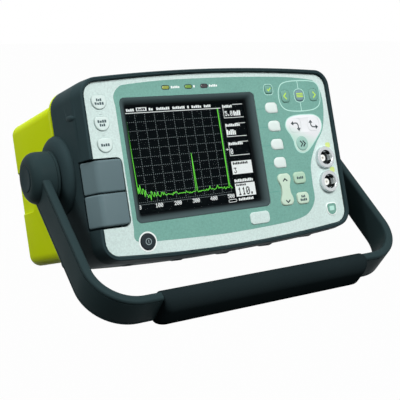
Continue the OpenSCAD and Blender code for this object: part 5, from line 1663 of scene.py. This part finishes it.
@dataclass(frozen=True)
class Handle:
    """Arms with their hubs, the grip and the release buttons."""

    stand: float = 54.2
    half: float = 145.3
    reach: float = 130.5
    thick: float = 7.0
    wide: float = 28.0
    corner: float = 36.5
    grip_half: float = 96.0
    grip: Flat = (30.0, 18.6)
    grip_z: float = 136.2
    hub_r: float = 20.5

    def place(self, x: float, v: float, h: float) -> Place:
        """Turns a place in the handle's own frame, with arms along -h, upright."""
        a = math.radians(self.stand - 90)
        return (x, PIVOT[0] + v * math.cos(a) - h * math.sin(a),
                PIVOT[1] + v * math.sin(a) + h * math.cos(a))

    def section(self) -> Loop:
        """Draws the strap's section: thickness outwards, then width, with fine grooves."""
        t, w = self.thick / 2, self.wide / 2
        spots = [(-t, w, 2.6), (-t, -w, 2.6), (t, -w, 1.9)]
        for side in (-1, 1):
            # A groove runs just inside each edge of the outer face
            marks = [(t, side * (w - 2.5), 0.2), (t - 0.55, side * (w - 2.7), 0.12),
                     (t - 0.55, side * (w - 3.3), 0.12), (t, side * (w - 3.5), 0.25)]
            spots += marks if side < 0 else marks[::-1]
        return corners(spots + [(t, w, 1.9)], 6)

    def path(self) -> list[tuple[float, float, float, float, float]]:
        """Gives stations of the left arm: place, outward way and share of the section."""
        straight = self.reach + self.thick - self.corner
        foot, middle = self.half - self.corner, self.corner - self.thick / 2
        out = [(-(self.half - self.thick / 2), -h, -1.0, 0.0, 1.0)
               for h in (13.0, 40.0, 70.0, straight)]
        for i in range(1, 19):
            a = math.pi / 2 * i / 18
            out.append((-(foot + middle * math.cos(a)), -(straight + middle * math.sin(a)),
                        -math.cos(a), -math.sin(a), 1.0))
        low = -(self.reach + self.thick / 2)
        out.append((-self.grip_half - 0.02, low, 0.0, -1.0, 1.0))
        out.append((-self.grip_half - 0.01, low, 0.0, -1.0, 0.79))
        out.append((-self.grip_half + 10.0, low, 0.0, -1.0, 0.79))
        return out

    def arm(self, side: int) -> Piece:
        """Sweeps one strap from the hub to the grip."""
        rings = [[self.place(-side * (x + u * share * out_x), v * share, h + u * share * out_h)
                  for u, v in self.section()] for x, h, out_x, out_h, share in self.path()]
        return loft("strap", rings)

    def hub(self, side: int) -> Piece:
        """Turns one hub, hollow for the disc, the screw and the button."""
        r = self.hub_r
        profile = [(10.4, 150.8), (10.4, 142.4), (9.2, 142.4), (9.2, 137.3), (5.05, 137.3),
                   (5.05, 133.3), (15.3, 133.3), (15.3, 130.4), (r - 0.7, 130.4),
                   (r - 0.2, 130.55), (r, 131.0), (r, 132.5), (r - 0.5, 132.8),
                   (r - 0.5, 133.3), (r, 133.6)]
        for i in range(13):
            a = math.pi / 2 * i / 12
            profile.append((12.1 + (r - 12.1) * math.cos(a), 142.1 + 9.0 * math.sin(a)))
        profile += [(11.2, 151.1), (10.7, 151.05)]
        return turned("hub", profile, along_pivot(side), 96, closed=True)

    def button(self, side: int) -> Piece:
        """Turns one dished release button."""
        # The ring groove behind takes up the spring when the button is pressed
        profile = [(5.2, 144.9), (5.2, 147.2), (8.1, 147.2), (8.1, 144.9), (9.8, 144.9),
                   (10.3, 145.2), (10.3, 150.9), (10.15, 151.3), (9.8, 151.48),
                   (9.3, 151.5), (7.4, 151.3), (5.0, 151.12), (2.6, 151.02), (0.8, 151.0)]
        return turned("button", profile, along_pivot(side), 64)

    def grip_piece(self) -> Piece:
        """Lofts the grip, with the outer side of each end sloped off."""
        w, t = self.grip
        spots = rounded(w, t, t / 2 - 0.01, steps=14)
        ends = (0.0, 0.12, 0.35, 0.7, 1.2, 2.0, 3.2, 4.8, 6.6, 12.0)
        stations = [(-1, e) for e in ends] + [(1, e) for e in ends[::-1]]
        rings = []
        for side, e in stations:
            low = 5.0 * (1 - math.sqrt(max(0.0, 1 - (1 - min(e / 6.6, 1.0)) ** 2)))
            top = 0.95 * (1 - math.sqrt(max(0.0, 1 - (1 - min(e / 1.2, 1.0)) ** 2)))
            ring = []
            for v, h in spots:
                h *= 1 - (low if h < 0 else top) / (t / 2)
                ring.append(self.place(side * (self.grip_half - e), v * (1 - top / (w / 2)),
                                       h - self.grip_z))
            rings.append(ring)
        return loft("grip_sleeve", rings)

    def build(self) -> None:
        """Builds the handle's pieces on their bodies."""
        for side, name in ((-1, "left"), (1, "right")):
            arm = combine(self.arm(side), "UNION", self.hub(side))
            arm.name = "arm_" + name
            settle(arm, HANDLE_NYLON, "handle", "handle_plastic", ["handle_arm_" + name],
                   angle=40)
            button = self.button(side)
            button.name = "button_" + name
            settle(button, BUTTON_NYLON, "release_button_" + name, "button_plastic",
                   ["release_button_" + name], angle=40)
        settle(self.grip_piece(), GRIP_RUBBER, "handle", "grip_rubber", ["handle_grip"],
               angle=60)


# The rear

@dataclass(frozen=True)
class RearFittings:
    """Battery cover, its screws, the feet and the rear sockets' pins."""

    screw_y: float = REAR_Y + 0.2

    def cover(self) -> None:
        """Makes the cover, with shallow finger grooves and its screw holes."""
        loop = rounded(177.6, 85.6, 6.0, (0, COVER_Z), 10)
        piece = loft("cover_plate", stacked(loop, ((0, REAR_Y - 2.0), (0, REAR_Y - 0.5),
                                                   (0.15, REAR_Y - 0.15), (0.5, REAR_Y))))
        tools = [turned("hole", [(2.55, REAR_Y - 3), (2.55, REAR_Y + 1)],
                        along_y((x, COVER_Z)), 24) for x in (-COVER_SCREW_X, COVER_SCREW_X)]
        for i in range(-3, 4):
            groove = rounded(120.0, 2.4, 1.15, (0, COVER_Z + 9.0 * i))
            tools.append(prism("groove", groove, REAR_Y - 0.6, REAR_Y + 1))
        settle(combine(piece, "DIFFERENCE", *tools), LIME_ABS, "battery_cover",
               "lime_case_plastic", ["battery_cover"], angle=40)

    def cover_screw(self, x: float, node: str) -> None:
        """Makes one fluted thumb screw with a coin slot."""
        rings = []
        for r, h, flute in ((2.5, -9.0, 0), (2.5, 0, 0), (5.5, 0, 0), (6.0, 0.4, 0.45),
                            (6.0, 3.2, 0.45), (5.7, 3.8, 0.25), (5.1, 4.0, 0)):
            turns = [2 * math.pi * i / 96 for i in range(96)]
            radii = [r - flute * (0.5 - 0.5 * math.cos(16 * a)) for a in turns]
            rings.append([(x + q * math.cos(a), self.screw_y + h, COVER_Z + q * math.sin(a))
                          for q, a in zip(radii, turns)])
        slot = prism("slot", rounded(1.6, 14.0, 0.1, (x, COVER_Z)), self.screw_y + 2.4,
                     self.screw_y + 5)
        settle(combine(loft(node + "_head", rings), "DIFFERENCE", slot), BUTTON_NYLON, node,
               "button_plastic", [node], angle=35)

    def feet(self) -> None:
        """Makes the four rear feet and the two half-round feet below."""
        profile = [(r, REAR_Y + h) for r, h in (
            (7.0, 0), (7.0, 3.8), (6.8, 4.5), (6.3, 4.9), (5.6, 5.0), (4.8, 4.9), (4.0, 4.6),
            (1.0, 4.5))]
        pieces = [turned("foot", profile, along_y((x, z)), 48)
                  for x in (-95.5, 95.5) for z in (28.0, 125.0)]
        ends = (0.0, 0.3, 0.9, 2.0)
        for x in (-78.4, 78.4):
            rings = []
            for side, e in [(-1, e) for e in ends] + [(1, e) for e in ends[::-1]]:
                r = 5.6 - 0.8 * (1 - math.sqrt(1 - (1 - min(e / 0.9, 1.0)) ** 2))
                rings.append([(x + side * (17.0 - e), 141.0 + r * math.cos(a),
                               13.0 + r * math.sin(a))
                              for a in (math.pi + math.pi * i / 24 for i in range(25))])
            pieces.append(loft("foot", rings))
        settle(joined("feet", pieces), BLACK_RUBBER, ROOT, "black_rubber", ["rubber_feet"],
               angle=40)

    def pins(self) -> None:
        """Adds the contacts in the data and charger sockets."""
        (x, z), r = DATA_SOCKET, 2.9
        pins = [turned("pin", [(0.45, REAR_Y - 4.5), (0.45, REAR_Y - 2.0), (0.2, REAR_Y - 1.7)],
                       along_y((x + r * math.cos(a), z + r * math.sin(a))), 12)
                for a in (math.radians(60 * i + 30) for i in range(6))]
        pins.append(turned("pin", [(0.7, REAR_Y - 4.5), (0.7, REAR_Y - 1.8),
                                   (0.3, REAR_Y - 1.4)], along_y(CHARGER_SOCKET), 16))
        settle(joined("rear_pins", pins), GOLD, ROOT, "gold_plated_brass")

    def build(self) -> None:
        """Builds the rear."""
        self.cover()
        self.cover_screw(-COVER_SCREW_X, "cover_screw_left")
        self.cover_screw(COVER_SCREW_X, "cover_screw_right")
        self.feet()
        self.pins()


# Studio

def seen_rays(tree: Tree) -> Socket:
    """Gives 1 for rays from the camera, mirrors and glass, and 0 for the light of surfaces."""
    path = add_node(tree, "ShaderNodeLightPath", {})
    seen = path.outputs["Is Camera Ray"]
    for kind in ("Is Glossy Ray", "Is Transmission Ray"):
        seen = add_node(tree, "ShaderNodeMath", {0: seen, 1: path.outputs[kind]},
                        operation="MAXIMUM").outputs[0]
    return seen


@dataclass(frozen=True)
class Studio:
    """Camera, floor, lamps and world."""

    place: Place = (-369.346, -595.088, 208.883)
    right: Place = (0.8458, -0.5335, 0.0015)
    up: Place = (0.1067, 0.1719, 0.9793)
    lens: float = 73.848
    aim: Place = (0.0, 0.0, 0.09)

    def camera(self) -> None:
        """Stands the camera where the photograph was taken from."""
        data = bpy.data.cameras.new("camera")
        data.sensor_width = 36.0
        data.lens = self.lens
        data.clip_start = 0.01
        data.clip_end = 60.0
        x = Vector(self.right).normalized()
        y = (Vector(self.up) - x * Vector(self.up).dot(x)).normalized()
        z = x.cross(y)
        camera = bpy.data.objects.new("camera", data)
        camera.matrix_world = Matrix.Translation(Vector(self.place) * MM) @ Matrix(
            ((x.x, y.x, z.x, 0), (x.y, y.y, z.y, 0), (x.z, y.z, z.z, 0), (0, 0, 0, 1)))
        bpy.context.scene.collection.objects.link(camera)
        bpy.context.scene.camera = camera

    def lamp(self, name: str, place: Place, size: float, power: float) -> None:
        """Hangs a square soft lamp that looks at the unit."""
        data = bpy.data.lights.new(name, "AREA")
        data.size, data.energy = size, power
        lamp = bpy.data.objects.new(name, data)
        aim = Vector(self.aim) - Vector(place)
        turn = aim.to_track_quat("-Z", "Y").to_matrix().to_4x4()
        lamp.matrix_world = Matrix.Translation(place) @ turn
        bpy.context.scene.collection.objects.link(lamp)

    def floor(self) -> None:
        """Lays a dark floor that shows white to the camera, so that only shadows tell it."""
        bpy.ops.object.select_all(action="DESELECT")
        bpy.ops.mesh.primitive_grid_add(x_subdivisions=2, y_subdivisions=2, size=24.0)
        floor = bpy.context.active_object
        floor.name = "floor"
        material, tree = blank("painted studio floor")
        seen = seen_rays(tree)
        place = add_node(tree, "ShaderNodeTexCoord", {}).outputs["Object"]
        roll = add_node(tree, "ShaderNodeTexNoise", {"Vector": place, "Scale": 60.0})
        paint = blended(tree, roll.outputs["Fac"], "#333536", "#303233")
        matt = add_node(tree, "ShaderNodeBsdfDiffuse", {"Color": paint})
        white = add_node(tree, "ShaderNodeEmission", {
            "Color": linear("#FFFFFF"), "Strength": 1.0})
        share = add_node(tree, "ShaderNodeMath", {0: seen, 1: 0.985}, operation="MULTIPLY")
        mix = add_node(tree, "ShaderNodeMixShader", {
            0: share.outputs[0], 1: matt.outputs[0], 2: white.outputs[0]})
        add_node(tree, "ShaderNodeOutputMaterial", {"Surface": mix.outputs[0]})
        floor.data.materials.append(material)

    def world(self) -> None:
        """Sets a white surround that the eye sees and a weaker one that lights."""
        world = bpy.data.worlds.new("studio")
        bpy.context.scene.world = world
        world.use_nodes = True
        tree = world.node_tree
        tree.nodes.clear()
        dim, white = (add_node(tree, "ShaderNodeBackground", {
            "Color": linear(colour), "Strength": strength})
            for colour, strength in (("#F6FAFA", 0.22), ("#FFFFFF", 1.0)))
        mix = add_node(tree, "ShaderNodeMixShader", {
            0: seen_rays(tree), 1: dim.outputs[0], 2: white.outputs[0]})
        add_node(tree, "ShaderNodeOutputWorld", {"Surface": mix.outputs[0]})

    def build(self) -> None:
        """Sets up the studio."""
        bpy.context.scene.view_settings.view_transform = "Standard"
        self.camera()
        self.floor()
        self.world()
        self.lamp("key", (0.1, -1.35, 1.35), 0.9, 34.0)
        self.lamp("side", (-1.3, 0.3, 1.1), 0.8, 14.0)
        self.lamp("top", (-0.2, 0.5, 1.7), 0.8, 7.0)


def dress_nodes(frame: dict) -> None:
    """Gives every node that no piece stands for its finish.
    """
    finishes = {
        "dark_housing_plastic": HOUSING_ABS, "lime_case_plastic": LIME_ABS,
        "pale_panel_plastic": PANEL_ABS, "green_overlay_film": GREEN_FILM,
        "black_plastic": BLACK_ABS, "black_rubber": BLACK_RUBBER,
        "grip_rubber": GRIP_RUBBER, "handle_plastic": HANDLE_NYLON,
        "button_plastic": HANDLE_NYLON, "white_key_rubber": WHITE_KEY,
        "mint_key_rubber": LEAF_KEY, "green_key_rubber": GREEN_KEY,
        "paddle_plastic": PADDLE_ABS, "lens_plastic": OLIVE_LENS,
        "display_glass": WINDOW, "display_panel": DARK_SCREEN, "circuit_board": BOARD,
        "sheet_aluminium": SHEET, "bright_steel": STEEL, "chrome_plated_brass": CHROME,
        "gold_plated_brass": GOLD, "white_insulator": INSULATOR,
        "battery_plastic": PACK_PLASTIC, "tray_plastic": TRAY_PLASTIC}
    wanted = {part["node"]: part["material_slot"] for part in frame["record"]["subparts"]}
    for name, node in frame["nodes"].items():
        node.data.materials.clear()
        node.data.materials.append(finishes[wanted[name]].material())


def main() -> None:
    """Builds the looks in order."""
    logging.basicConfig(level=logging.INFO, format="%(name)s: %(message)s")
    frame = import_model()
    bpy.ops.object.select_all(action="DESELECT")
    Studio().build()
    dress_nodes(frame)
    for maker in (FrontHousing(), RearCase(), Panel(), Display(), Keypad(), Paddles(),
                  ProbeSockets(), Handle(), RearFittings()):
        maker.build()
        log.info("%s is done", type(maker).__name__)


if __name__ == "__main__":
    main()
